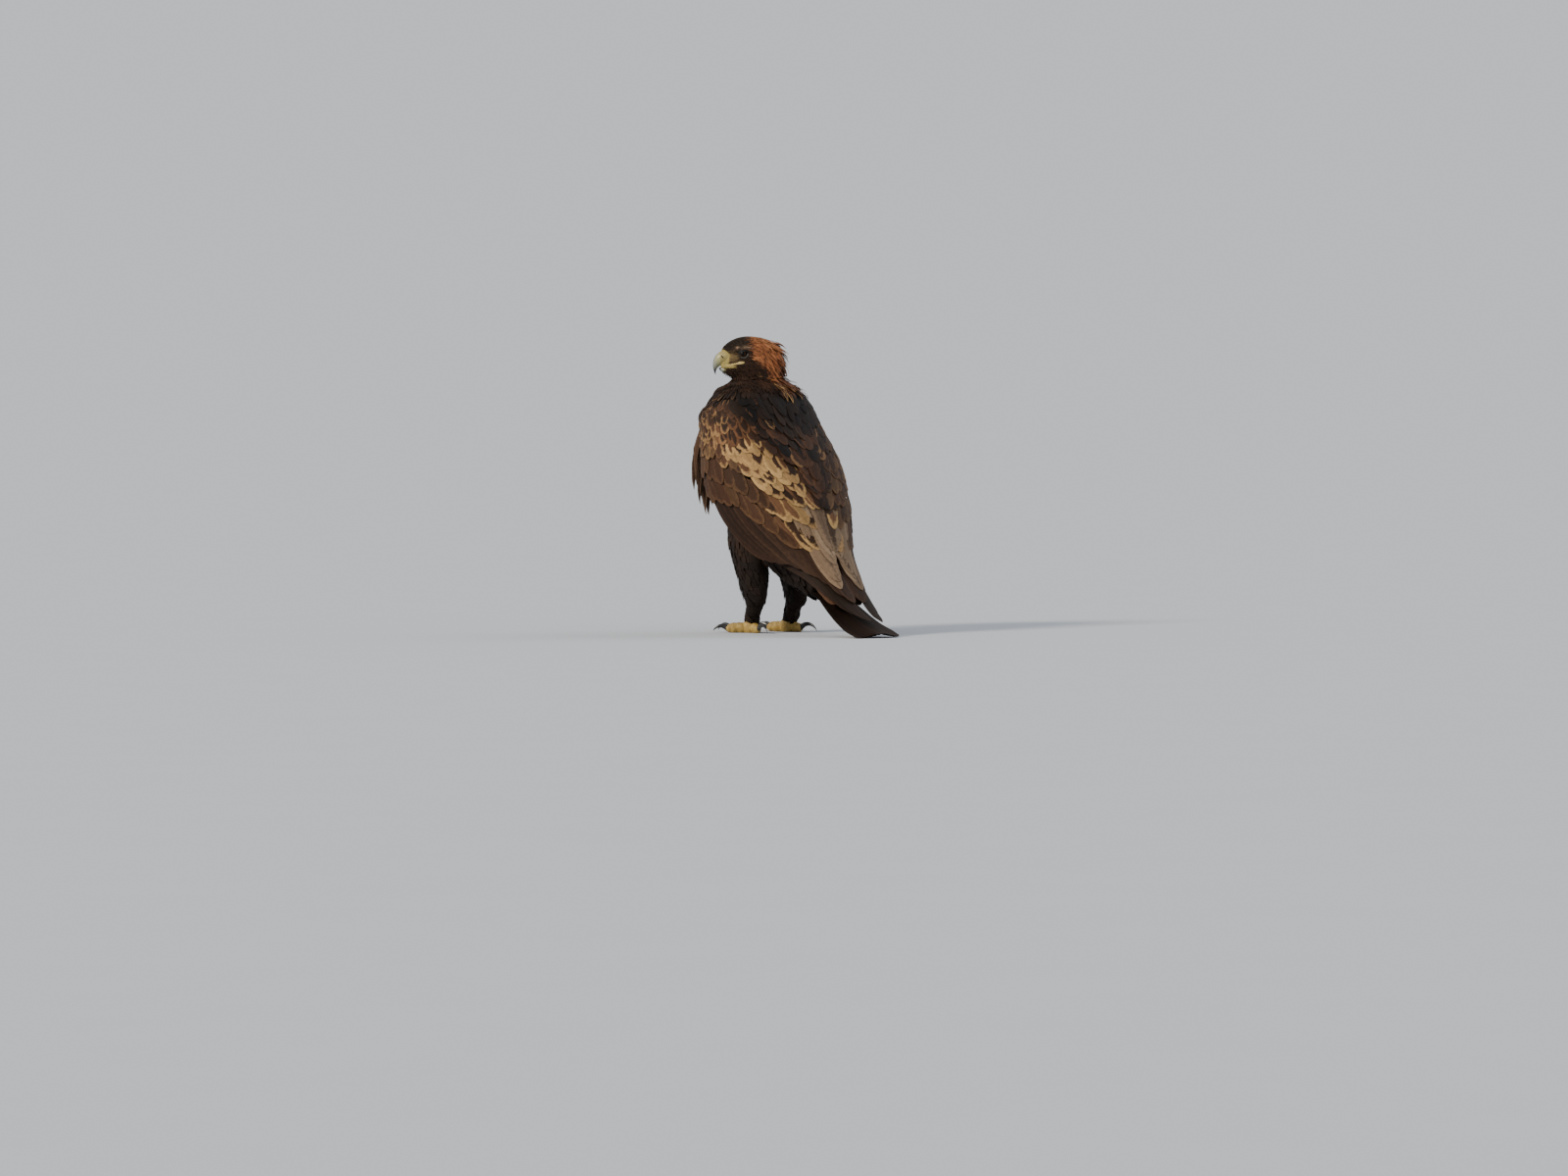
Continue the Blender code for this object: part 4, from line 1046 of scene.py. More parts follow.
def foot_material():
    """Yellow skin of plates and small scales with dark seams."""
    made, tree, shader = shader_material("foot_yellow", 0.5, 0.4)
    w = Wiring(tree)
    cells = w.node("ShaderNodeTexVoronoi", feature="DISTANCE_TO_EDGE")
    cells.inputs["Scale"].default_value = 620.0
    w.link(w.place(), cells.inputs["Vector"])
    seam = w.step(cells.outputs["Distance"], 0.14, 0.02)
    _, _, groove = w.parts("horn")
    patches = w.noise(160.0, 3.0, w.place())
    colour = w.mix(w.step(patches, 0.3, 0.7), (0.36, 0.22, 0.045), (0.52, 0.36, 0.09))
    colour = w.mix(w.math("MULTIPLY", seam, 0.5), colour, (0.10, 0.055, 0.018))
    colour = w.mix(w.math("MULTIPLY", groove, 0.8), colour, (0.055, 0.030, 0.012))
    w.link(colour, shader.inputs["Base Color"])
    w.bump(w.math("SUBTRACT", 1.0, seam), 0.4, 0.0004, shader)
    return made


# Markings, with some painted shade


def row_of(colour, alpha, count):
    """count rows of one colour with an alpha."""
    full = np.empty((count, 4))
    full[:, :3] = colour
    full[:, 3] = alpha
    return full


def with_alpha(colour, alpha):
    colour = np.atleast_2d(colour)
    return np.concatenate([colour, np.broadcast_to(np.asarray(alpha, float).reshape(-1, 1), (len(colour), 1))], 1)


# Where the pale part of a folded wing begins and ends along the body, at each angle round it
UPPER_EDGE = Curve(
    [-15, 3, 7, 14, 22, 30, 45, 55, 72, 90, 118],
    [0.430, 0.340, 0.272, 0.232, 0.203, 0.178, 0.163, 0.148, 0.142, 0.100, 0.080],
)
LOWER_EDGE = Curve(
    [-15, 20, 35, 44, 49, 53, 58, 75, 92, 118],
    [0.560, 0.470, 0.445, 0.410, 0.335, 0.235, 0.205, 0.188, 0.148, 0.114],
)


def covert_colours(tips, side, dice):
    """Centre and margin colours of a wing's small feathers from where their tips lie, with painted shade on the right
    wing's pale band.
    """
    along, angle = tips[:, 0] - 0.006, tips[:, 1]
    count = len(tips)
    patch = mottle(tips * (1, 0.002), 0.050, 11 + side)
    stray = dice.normal(0, 0.010, count) + 0.010 * patch
    begun = ease(along - UPPER_EDGE(angle) + stray, -0.010, 0.012)
    ended = ease(along - LOWER_EDGE(angle) + stray, -0.020, 0.016)
    inside = begun * (1 - 0.88 * ended) * (1 - 0.40 * ease(angle, 66, 88))
    # Painted shade: on the right wing, which faces away from the key light, the pale band is painted dark except for a
    # strip near the back
    if side < 0:
        near_back = ease(along, 0.365, 0.390) * ease(-angle, -16, -7)
        inside = inside * np.maximum(mix(0.12, 1.0, ease(angle, 35, 65)), near_back)
    ochre = ease(along, 0.075, 0.115) * (1 - begun) * ease(angle, 25, 45)
    streaked = ease(angle, 62, 80) * (1 - ease(along, 0.12, 0.17)) * (dice.random(count) < 0.40)
    # Long brown centres with pale rims at the band's lower end
    long = ease(along, 0.300, 0.345)
    kinds = dice.random(count)
    whole = ((kinds < 0.36 - 0.14 * long) * inside)[:, None]
    oval = ((kinds > 0.58 + 0.20 * long) * (1 - 0.75 * ended))[:, None]
    dark = blend(DARK, BROWN, np.clip(0.65 + 0.6 * patch + dice.normal(0, 0.25, count), 0, 1.4))
    warm = ease(dice.random(count) + 0.5 * patch, 0.50, 0.80) * (1 - begun)
    centre = blend(dark, (0.060, 0.0285, 0.015), 0.8 * warm)
    centre = blend(centre, blend(BROWN, (0.125, 0.056, 0.026), 0.80), inside * 0.9)
    centre = blend(centre, (0.046, 0.0205, 0.0105), ended * 0.8)
    centre = blend(centre, (0.165, 0.083, 0.040), long * inside * 0.55)
    centre = mix(centre, np.array(STRAW) * 0.72, whole * 0.85)
    centre = mix(centre, blend(DARK, BROWN, 0.5 + 0.5 * patch), oval * 0.9)
    edge = blend(centre * 1.25, MID, np.clip(0.15 + 0.3 * patch, 0, 1))
    edge = blend(edge, (0.150, 0.066, 0.028), ochre * 0.7)
    edge = blend(edge, (0.060, 0.0285, 0.0145), ended * 0.7)
    edge = blend(edge, BUFF, streaked * 0.7)
    pale = np.clip(inside * mix(0.3, 1.0, dice.random(count)), 0, 1)
    edge = blend(edge, blend(np.array(BUFF) * 0.85, STRAW, pale), inside)
    rim = mix(0.18, 0.48, np.maximum(inside, 0.55 * ochre)) * mix(0.55, 1.30, dice.random(count))
    tip = mix(0.08, 0.30, np.maximum(inside, 0.3 * ochre)) * mix(0.45, 1.5, dice.random(count))
    slim = (1 - 0.45 * oval[:, 0] * inside) * (1 - 0.45 * long)
    return with_alpha(centre, rim * slim), with_alpha(edge, tip * slim)


def mantle_colours(tips, dice):
    """The dark back between the wings, with brown patches and edges lower down."""
    count = len(tips)
    patch = mottle(tips * (1, 0.002), 0.045, 21)
    lower = ease(tips[:, 0], 0.10, 0.18)
    centre = blend(BLACKISH, DARK, 1.2 * dice.random(count))
    warm = ease(dice.random(count) + 0.6 * patch, 0.45, 0.85) * lower
    centre = blend(centre, (0.048, 0.0225, 0.0125), 0.85 * warm)
    brown = blend(BROWN, (0.095, 0.043, 0.021), np.clip(0.3 + 0.8 * patch, 0, 1))
    edge = blend(centre * 1.3, brown, lower * (dice.random(count) < 0.60) * mix(0.5, 1.0, dice.random(count)))
    lit = (dice.random(count) < 0.015 + 0.08 * lower) * 1.0
    edge = blend(edge, BUFF, lit * 0.5)
    return with_alpha(centre, mix(0.14, 0.42, lower)), with_alpha(edge, mix(0.06, 0.16, lower))


def flight_colours(name, side, share, dice):
    """Flight feathers, from the back edge of their tier to the front one. The right wing's tertials are painted darker
    as shade.
    """
    count = len(share)
    chance = dice.random(count)
    if name == "primaries":
        centre = blend((0.020, 0.0125, 0.0085), DARK, chance)
        edge = blend(DARK, BROWN, 0.4 * chance)
        return with_alpha(centre, 0.10), with_alpha(edge, 0.015)
    if name == "tertials":
        # Painted shade: the right wing's tertials are a quarter darker than the left wing's
        lit = 1.0 if side > 0 else 0.75
        centre = blend((0.140, 0.092, 0.058), (0.072, 0.043, 0.027), chance) * lit
        edge = blend((0.185, 0.118, 0.070), (0.270, 0.185, 0.115), chance) * lit
        return with_alpha(centre, 0.38), with_alpha(edge, 0.03)
    centre = blend((0.031, 0.0146, 0.0084), (0.017, 0.0095, 0.0063), 0.7 * chance + 0.3 * share)
    edge = blend((0.058, 0.0295, 0.0160), (0.026, 0.0130, 0.0078), 0.3 + 0.7 * chance)
    return with_alpha(centre, 0.16), with_alpha(edge, 0.02)


# How far forward the golden feathers reach, at each height
GOLD_EDGE = Curve(
    [0.485, 0.495, 0.505, 0.520, 0.529, 0.536, 0.545, 0.560, 0.579],
    [-0.046, -0.032, -0.021, -0.016, -0.013, 0.006, 0.011, 0.012, 0.014],
)


def head_colours(points, forward, height):
    """The head's colours at points of the skin, with painted shade round the eyes, and how golden it is there."""
    ripple, fine = mottle(points, 0.016, 3), mottle(points, 0.005, 4)
    gold = ease(GOLD_EDGE(height) + 0.0055 * ripple + 0.0070 * fine - forward, -0.0095, 0.0095)
    gold = gold * ease(height, 0.474, 0.488)
    light = 0.30 + 0.35 * ripple + 0.30 * fine
    light = light + 0.8 * spot_share(forward, height, (-0.012, 0.575), (0.022, 0.009))
    light = light + 0.7 * spot_share(forward, height, (-0.006, 0.5395), (0.018, 0.0060))
    golden = blend(RUFOUS, GOLD, np.clip(light, 0, 1))
    golden = blend(golden, BROWN, 0.45 * ease(-forward, 0.034, 0.056))
    cap = blend(CAP, BROWN, np.clip(fine, 0, 1) * 0.7)
    cheek = blend(DARK, BROWN, np.clip(0.35 + 0.3 * fine, 0, 1))
    colour = blend(blend(cheek, cap, ease(height, 0.546, 0.556)), golden, gold)
    brow = spot_share(forward, height, (0.0383, 0.5573), (0.0035, 0.0024))
    brow = brow + spot_share(forward, height, (0.0205, 0.5580), (0.0080, 0.0030)) * (0.7 + 0.5 * fine)
    colour = blend(colour, PINK_BUFF, np.clip(brow, 0, 1) * 0.9)
    # A darker patch round each eye: partly the face's own dark feathers, partly painted shade of the socket under the
    # brow
    ring = spot_share(forward, height, (EYE_FORWARD, EYE_Z - 0.0004), (0.0150, 0.0100))
    colour = blend(colour, np.array(DARK) * 0.8, ease(ring, 0.30, 0.55) * 0.9)
    lore = spot_share(forward, height, (0.0470, 0.5395), (0.0100, 0.0085))
    colour = blend(colour, LORE, np.clip(1.5 * lore, 0, 1) * (0.8 + 0.2 * fine))
    bare = ease(forward - CERE_EDGE(height), -0.0010, 0.0006) * ease(0.5548 - height, 0.0, 0.002) * ease(height, 0.517, 0.520)
    lip = ease(forward, 0.038, 0.044) * ease(height, 0.5180, 0.5190) * ease(0.5240 - height, 0.0, 0.001)
    return blend(colour, CERE, np.maximum(bare, lip)), gold


def head_body_colours(points):
    """The coat's colour at points of the skin, with painted shade low on the body, and how golden it is there."""
    forward, side = head_place(points)
    height = points[:, 2]
    along, angle, size = region_shares(points)
    head, gold = head_colours(points, forward, height)
    patch = mottle(points, 0.030, 8)
    low = ease(-height, -0.512, -0.490)
    neck = blend(blend(DARK, BROWN, np.clip(0.5 + 0.5 * patch, 0, 1)), blend(BROWN, RUFOUS, 0.75), gold)
    colour = blend(head, neck, low)
    trunk = ease(-height, -0.484, -0.470)
    breast = blend(DARK, BROWN, np.clip(0.55 + 0.5 * patch - 0.4 * ease(along, 0.10, 0.25), 0, 1))
    body = blend(blend(BLACKISH, DARK, 0.5), breast, ease(angle, 75, 110))
    # Painted shade under the body: below about 0.24 m the belly and the leg feathers go blackish towards the floor
    body = blend(body, blend(BLACKISH, DARK, 0.7 + 0.3 * patch), ease(-height, -0.24, -0.15))
    return blend(colour, body, trunk), gold


# Wings

# Each row of a wing, from its back edge to its front edge. An edge gives where a vane's root and tip are along
# the body, then their angles round it. lifts are over the wing's surface near the root and at the tip, and tilt
# is how far a vane leans over the next one
# The flight feathers. Each row runs from its back edge to its front edge, and an edge gives where a vane's root
# and tip are along the body, then their angles round it. Then half widths, lifts over the wing's surface near
# the root and at the tip, how far a vane leans over the next one, and how much lower each one lies
FLIGHT_ROWS = {
    "primaries": ("primary", 9, (0.330, 0.645, 48, 9), (0.275, 0.500, 102, 60), (0.0165, 0.0130), (-0.0115, -0.0040), 0.0010, 0.0007),
    "secondaries": ("flight", 15, (0.295, 0.575, 26, 9), (0.185, 0.400, 106, 84), (0.0180, 0.0160), (-0.0062, -0.0034), 0.0020, 0),
    "tertials": ("flight", 6, (0.240, 0.540, 27, 19), (0.215, 0.455, 7, 1), (0.0205, 0.0180), (-0.0045, -0.0016), 0.0016, -0.0003),
}

# Lines through the tips of rows of coverts, as (along, angle) from the back to the wing's front edge
TIP_LINES = {
    "greater": [
        (0.462, 8), (0.452, 22), (0.438, 36), (0.412, 50), (0.352, 60), (0.300, 71), (0.262, 85), (0.238, 100), (0.222, 116),
    ],
    "median": [
        (0.405, 5), (0.392, 20), (0.368, 35), (0.332, 46), (0.284, 58), (0.240, 71), (0.212, 85), (0.190, 100), (0.176, 117),
    ],
    "upper": [
        (0.348, 4), (0.332, 18), (0.305, 33), (0.268, 45), (0.228, 56), (0.194, 69), (0.168, 83), (0.149, 99), (0.136, 118),
    ],
    "shoulder": [
        (0.078, 24), (0.075, 36), (0.073, 48), (0.071, 60), (0.069, 72), (0.067, 84), (0.065, 95), (0.063, 106), (0.061, 117),
    ],
}

# How far round from the back the scapulars reach, from the highest to the lowest
SCAPULAR_REACH = Curve([0.075, 0.095, 0.125, 0.160, 0.200, 0.235, 0.270, 0.290], [58, 49, 36, 26, 16, 8, 2, 0])


def edge_rows(back_edge, front_edge, share):
    """Roots and tips, as rows of (along, angle), for shares of the way from the back edge to the front."""
    root_along, tip_along, root_angle, tip_angle = (mix(a, b, share) for a, b in zip(back_edge, front_edge))
    return np.stack([root_along, root_angle], 1), np.stack([tip_along, tip_angle], 1)


def flight_row(name, side, dice):
    shape, count, back_edge, front_edge, widths, lifts, tilt, step = FLIGHT_ROWS[name]
    share = np.linspace(0, 1, count)
    roots, tips = edge_rows(back_edge, front_edge, share)
    tips[:, 0] += dice.normal(0, 0.003, count)
    tips[:, 1] += dice.normal(0, 0.8, count)
    half_width = mix(widths[0], widths[1], share) * mix(0.94, 1.06, dice.random(count))
    lift = np.array(lifts)[None] - step * np.arange(count)[:, None]
    colours = flight_colours(name, side, share, dice)
    return wing_vanes(name, shape, roots, tips, half_width, lift, tilt, colours, side, dice)


def covert_row(line, count, offset, lengths, widths, lifts, side, dice, shape="covert", colours=covert_colours, stray=1.0):
    """One row of coverts whose tips lie along a line, and whose roots lie up the way that the wing's feathers run."""
    share = (np.arange(count) + offset) / (count - 0.5)
    tips = Curve(np.linspace(0, 1, len(line)), line)(share)
    tips += dice.normal(0, stray, tips.shape) * np.array((0.0050, 1.5))
    length = mix(lengths[0], lengths[1], share) * mix(0.88, 1.12, dice.random(count))
    run = mix(60, 105, np.clip(tips[:, 1] / 100, 0, 1)) * (1 + 0.3 * stray * dice.uniform(-1, 1, count))
    roots = np.stack([np.maximum(tips[:, 0] - length, NECK_END - 0.004), tips[:, 1] + length * run], 1)
    half_width = mix(widths[0], widths[1], share) * (1 + 0.2 * stray * dice.uniform(-1, 1, count))
    lift = np.array(lifts)[None] + dice.normal(0, 0.0004 * stray, (count, 1))
    made = colours(tips, side, dice)
    return wing_vanes("coverts", shape, roots, tips, half_width, lift, 0.0009, made, side, dice, 0.006)


LESSER_ROWS = 10
SCAPULAR_ROWS = 12


def coverts(side, dice):
    """The rows of coverts from the flight feathers up to the wing's bend."""
    greater = covert_row(
        TIP_LINES["greater"], 18, 0, (0.115, 0.070), (0.0158, 0.0122), (-0.0044, -0.0006), side, dice
    )
    median = covert_row(
        TIP_LINES["median"], 18, 0.5, (0.092, 0.056), (0.0145, 0.0114), (-0.0030, 0.0006), side, dice
    )
    pieces = [greater, median]
    upper, shoulder = np.array(TIP_LINES["upper"]), np.array(TIP_LINES["shoulder"])
    for row in range(LESSER_ROWS):
        t = row / (LESSER_ROWS - 1)
        lengths = mix(0.078, 0.040, t), mix(0.050, 0.034, t)
        widths = mix(0.0132, 0.0088, t), mix(0.0108, 0.0080, t)
        lifts = mix(-0.0018, -0.0006, t), mix(0.0012, 0.0012, t)
        line, count = mix(upper, shoulder, t**0.85), int(mix(19, 17, t))
        pieces.append(
            covert_row(line, count, 0.5 * (row % 2), lengths, widths, lifts, side, dice, "small_covert", stray=1.2)
        )
    return pieces


def scapulars(side, dice):
    """Dark rows that cover the joint of the wing and the back, and meet in the middle."""
    pieces = []
    for row in range(SCAPULAR_ROWS):
        t = row / (SCAPULAR_ROWS - 1)
        back_tip, front_tip = mix(0.350, 0.084, t), mix(0.288, 0.080, t)
        reach = float(SCAPULAR_REACH(front_tip))
        line = [(mix(back_tip, front_tip, s), mix(-3, reach, s)) for s in (0, 0.35, 0.7, 1)]
        lengths = mix(0.090, 0.042, t), mix(0.076, 0.038, t)
        half = mix(0.0140, 0.0092, t)
        count = max(3, round((reach + 3) * 1.75 / half / 1000 * 1.15))
        lifts = (0.0000, mix(0.0022, 0.0024, t))
        pieces.append(
            covert_row(
                line, count, 0.5 * (row % 2), lengths, (half, half), lifts, side, dice, "small_covert", scapular_colours, 1.6
            )
        )
    return pieces


def scapular_colours(tips, side, dice):
    return mantle_colours(tips, dice)


def lower_back(side, dice):
    """Dark rows under the folded wings, which show only between their tips."""
    pieces = []
    for tip in (0.450, 0.510, 0.570):
        line = [(tip, -5), (tip, 10), (tip - 0.010, 26), (tip - 0.020, 42)]
        pieces.append(
            covert_row(line, 5, 0, (0.11, 0.10), (0.016, 0.014), (-0.0165, -0.0145), side, dice, "covert", scapular_colours)
        )
    return pieces


def merged(name, pieces):
    """Joins vane meshes and keeps their attributes and map."""
    for piece in bpy.context.selected_objects:
        piece.select_set(False)
    for piece in pieces:
        piece.select_set(True)
    bpy.context.view_layer.objects.active = pieces[0]
    if len(pieces) > 1:
        bpy.ops.object.join()
    made = pieces[0]
    made.name = name
    made.data.name = name
    made.select_set(False)
    return made


# Bill, eyes and lids


def shell(name, grid, places, caps=True):
    """A closed body through rows of rings, with a place for each point stored for its material."""
    rows, around = grid.shape[:2]
    faces = []
    for i in range(rows - 1):
        for j in range(around):
            a, b = i * around + j, i * around + (j + 1) % around
            faces.append((a, b, b + around, a + around))
    if caps:
        faces.append(tuple(reversed(range(around))))
        faces.append(tuple(range((rows - 1) * around, rows * around)))
    made = mesh_object(name, grid.reshape(-1, 3), faces)
    vector_attribute(made.data, "horn", np.asarray(places, float).reshape(-1, 3))
    return outwards(made)


def bill_shell(name, profile, start, end, count, upper, swell=0.0):
    """A stretch of the bill between two stations of its profile."""
    around = 48
    share = np.linspace(start, end, count)
    top_x, top_z, low_x, low_z, half = Curve(range(len(profile)), profile)(share).T[:, :, None]
    turn = math.tau * (np.arange(around)[None, :] + 0.5) / around
    height = (1 + np.cos(turn)) / 2
    if upper:
        height = np.maximum(height, 0.02) ** 0.8
    side = np.sin(turn) * (half * (1.0 if upper else 0.95) + swell)
    # The edge of the upper bill has a shallow wave before the hook
    wave = 0.0012 * np.sin(share * math.pi / 2.2)[:, None] * (1 - height) ** 4 * upper
    grid = head_point(mix(low_x, top_x, height), side, mix(low_z, top_z, height) + wave + swell * (height * 2 - 1))
    places = np.stack(np.broadcast_arrays(share[:, None] / (len(profile) - 1), height, 0 * height), -1)
    return shell(name, grid, places)


def nostril(side):
    turn = Matrix.Rotation(math.radians(-48), 3, "Y")
    own = Matrix((AHEAD.tolist(), LEFT.tolist(), UP.tolist())).transposed() @ turn
    place = head_point(0.0650, side * 0.0140, 0.5398)
    return ball("nostril", place, (0.0044, 0.0034, 0.0013), np.array(own.transposed()), 24)


GAPE_LINE = Curve([0.0215, 0.0330, 0.0460, 0.0640], [0.5288, 0.5276, 0.5248, 0.5222])

# How far forward the cere's rear edge is at each height
CERE_EDGE = Curve([0.516, 0.525, 0.535, 0.545, 0.549, 0.554], [0.0560, 0.0537, 0.0522, 0.0515, 0.0555, 0.0625])


def gape(side, ground):
    """The fleshy yellow edge of the mouth, from the bill back to below the eye."""
    rows, around = 44, 24
    share = np.linspace(0, 1, rows)
    forward = mix(0.0650, 0.0215, share)
    height = GAPE_LINE(forward)
    spots, outs = ground.nearest(head_point(forward, side * side_at(forward, height), height))
    way = unit(np.gradient(spots, axis=0))
    up = unit(np.cross(outs, way)) * side
    end = np.sqrt(np.clip((1.01 - share) / 0.16, 0.01, 1))
    thick = mix(0.0006, 0.0017, ease(share, 0.02, 0.35)) + 0.0009 * ease(share, 0.55, 0.85)
    turn = math.tau * np.arange(around) / around
    # A crease runs along the middle, where the two jaws meet
    crease = 1 - 0.40 * np.exp(-(((turn - math.tau * np.round(turn / math.tau)) / 0.28) ** 2))
    ring = outs[:, None] * (np.cos(turn) * 0.62 * crease)[:, None] + up[:, None] * (np.sin(turn) * 1.25)[:, None]
    grid = spots[:, None] + ring * (thick * end)[:, None, None]
    places = np.stack(np.broadcast_arrays(share[:, None], turn[None, :] / math.tau, 0 * share[:, None]), -1)
    return shell("gape", grid, places)


def lids(side, ground):
    """The bare skin from the socket's rim in to the eye, with a rolled edge."""
    around = 72
    turn = math.tau * np.arange(around) / around
    sideways, upwards = np.cos(turn), np.sin(turn)
    # The upper lid is flatter than the lower one and slants down towards the bill
    flat = np.where(upwards > 0, 0.70, 1.0)
    slant = -0.0007 * sideways
    rim = head_point(EYE_FORWARD + 0.0118 * sideways, side * 0.036, EYE_Z + 0.0092 * upwards * flat)
    outer, outs = ground.nearest(rim)
    outer = outer - outs * 0.0006
    df, dz = 0.0071 * sideways, 0.0057 * upwards * flat + slant
    depth = np.sqrt(EYE_RADIUS**2 - df**2 - dz**2)
    inner = head_point(EYE_FORWARD + df, side * (EYE_SIDE + depth + 0.0003), EYE_Z + dz)
    rows = []
    for share, out in ((0, 0), (0.30, 0.0010), (0.55, 0.0012), (0.74, 0.0007), (0.84, 0.0009), (0.93, 0.0010), (1.0, 0.0003)):
        rows.append(mix(outer, inner, share) + LEFT * side * out)
    rows.append(inner - LEFT * side * 0.0020)
    rows.append(outer - LEFT * side * 0.0040)
    rows.append(rows[0])
    grid = np.stack(rows)
    places = np.zeros((*grid.shape[:2], 3))
    places[..., 0] = np.linspace(0, 1, len(rows))[:, None]
    return shell("lids", grid, places, False)


def eye(side):
    """An eyeball with its own axis, along which its pupil and iris are laid out."""
    rows, around = 48, 48
    axis = unit(LEFT * side + AHEAD * 0.22 + UP * 0.02)
    right = unit(np.cross(axis, UP))
    above = np.cross(right, axis)
    away = np.linspace(0.004, math.pi - 0.004, rows)
    turn = math.tau * np.arange(around) / around
    radius = EYE_RADIUS * (1 + 0.045 * np.exp(-((away / 0.62) ** 2)))[:, None, None]
    level = right * np.cos(turn)[:, None] + above * np.sin(turn)[:, None]
    grid = axis * np.cos(away)[:, None, None] + level[None] * np.sin(away)[:, None, None]
    grid = head_point(EYE_FORWARD, side * EYE_SIDE, EYE_Z) + grid * radius
    made = shell("eye", grid, np.zeros(grid.shape))
    places = np.stack(np.broadcast_arrays(away[:, None], turn[None, :] / math.tau, 0 * away[:, None]), -1)
    vector_attribute(made.data, "gaze", places.reshape(-1, 3))
    return made


def build_head_details(ground):
    """Everything bare on the head."""
    horn = horn_material()
    yellow = bare_skin("cere_yellow", (0.36, 0.285, 0.095), (0.26, 0.21, 0.075))
    cere = bill_shell("cere", UPPER_BILL, 0, CERE_SHARE, 22, True, 0.0003)
    cut(cere, [nostril(1), nostril(-1)], "EXACT")
    put(cere, yellow, ["cere"])
    # The nostril's floor is painted near-black: painted shade of its hollow
    hollow = bill_shell("nostril_floor", UPPER_BILL, 0.2, CERE_SHARE - 0.1, 12, True, -0.0016)
    put(hollow, bare_skin("nostril_painted_shade", (0.02, 0.012, 0.008), (0.01, 0.006, 0.004)))
    put(bill_shell("bill_upper", UPPER_BILL, CERE_SHARE - 0.3, 7, 64, True), horn, ["bill_upper"])
    put(bill_shell("bill_lower", LOWER_BILL, 0, 3, 30, False), horn, ["bill_lower"])
    dark = bare_skin("lids_dark", (0.010, 0.008, 0.006), (0.006, 0.0045, 0.004))
    glass = eye_material()
    for side, word in ((1, "left"), (-1, "right")):
        put(gape(side, ground), bare_skin("gape_" + word, (0.50, 0.385, 0.145), (0.38, 0.275, 0.085)))
        put(lids(side, ground), dark)
        put(eye(side), glass, ["eye_" + word])


# Feet


def toe_direction(side, bearing):
    turn = math.radians(bearing)
    return np.array((math.sin(turn) * side, -math.cos(turn), 0.0))


def toe(ankle, ahead, length):
    """A toe with plates across its top and pads below."""
    rows, around = 84, 28
    share = np.linspace(0, 1, rows)[:, None]
    turn = math.tau * (np.arange(around)[None, :] + 0.5) / around
    level, up = np.cos(turn), np.sin(turn)
    plates = share * length / 0.0036
    ramp = plates - np.floor(plates)
    on_top = ease(up, 0.20, 0.60) * ease(share, 0.24, 0.34) * ease(-share, -0.97, -0.90)
    joints = np.cos(share * math.tau * max(2, round(length / 0.018)))
    end = 1 - 0.42 * ease(share, 0.84, 1.0)
    radius = mix(0.0100, 0.0076, share) * end * (1 + 0.045 * joints + 0.06 * joints * ease(-up, 0.0, 0.6))
    rise = up * radius * np.where(up > 0, 0.94, 1.25) + on_top * (0.0009 * (1 - ramp))
    middle = mix(0.0110, TOE_END_Z, share)
    across = np.array((-ahead[1], ahead[0], 0.0))
    grid = ankle + ahead * mix(0.004, length, share)[..., None] + across * (level * radius)[..., None]
    grid[..., 2] = np.maximum(middle + rise, 0.0)
    groove = on_top * ease(ramp, 0.86, 0.99)
    places = np.stack(np.broadcast_arrays(share, up, groove), -1)
    return shell("toe", grid, places)


def pad(ankle):
    """The foot's middle, under the feathered ankle."""
    rows, around = 30, 40
    height = np.linspace(0, 0.0226, rows)[:, None]
    half = Curve([0, 0.004, 0.012, 0.019, 0.0226], [0.0120, 0.0150, 0.0158, 0.0145, 0.0120])(height)
    turn = math.tau * np.arange(around)[None, :] / around
    grid = np.empty((rows, around, 3))
    grid[..., 0] = ankle[0] + half * np.cos(turn)
    grid[..., 1] = ankle[1] + half * 1.05 * np.sin(turn)
    grid[..., 2] = height
    return shell("pad", grid, np.zeros(grid.shape))


def claw(ankle, ahead, toe_length, length):
    """A talon: a tapered arc that leaves the toe upwards and comes down to the floor."""
    rise, fall = math.radians(38), math.radians(-66)
    radius = length / (rise - fall)
    drop = radius * (math.cos(rise) - math.cos(fall))
    rise += max(0.0, drop - TOE_END_Z + 0.0012) / radius * 0.9
    across = np.array((-ahead[1], ahead[0], 0.0))
    rows, around = 34, 24
    angle = math.tau * (np.arange(around) + 0.5) / around
    spot = ankle + ahead * (toe_length - 0.0016) + UP * TOE_END_Z
    rings = []
    for share in np.linspace(0, 1, rows):
        turn = mix(rise, fall, share)
        heading = ahead * math.cos(turn) + UP * math.sin(turn)
        up = UP if share == 0 else UP * math.cos(turn) - ahead * math.sin(turn)
        thick = mix(1.0, 0.04, share**1.25)
        ring = across * (0.0042 * thick * np.cos(angle))[:, None] + up * (0.0056 * thick * np.sin(angle))[:, None]
        rings.append(spot + ring)
        spot = spot + heading * (length / (rows - 1))
    grid = np.stack(rings)
    low = grid[..., 2].min()
    grid[..., 2] += max(0.0004 - low, 0.0) * np.linspace(0, 1, rows)[:, None]
    places = np.zeros(grid.shape)
    places[..., 0] = np.linspace(0, 1, rows)[:, None]
    return shell("claw", grid, places)


def feet():
    skin, horn = foot_material(), talon_material()
    for side, word in ((1, "left"), (-1, "right")):
        ankle = np.array((FOOT_X * side, FOOT_Y, 0.0))
        pieces = [pad(ankle)]
        for name, (bearing, length, talon) in TOES.items():
            ahead = toe_direction(side, bearing)
            pieces.append(toe(ankle, ahead, length))
            node = "talon_" + word + "_" + name
            put(claw(ankle, ahead, length, talon), horn, [node])
        put(merged("foot", pieces), skin, ["foot_" + word])


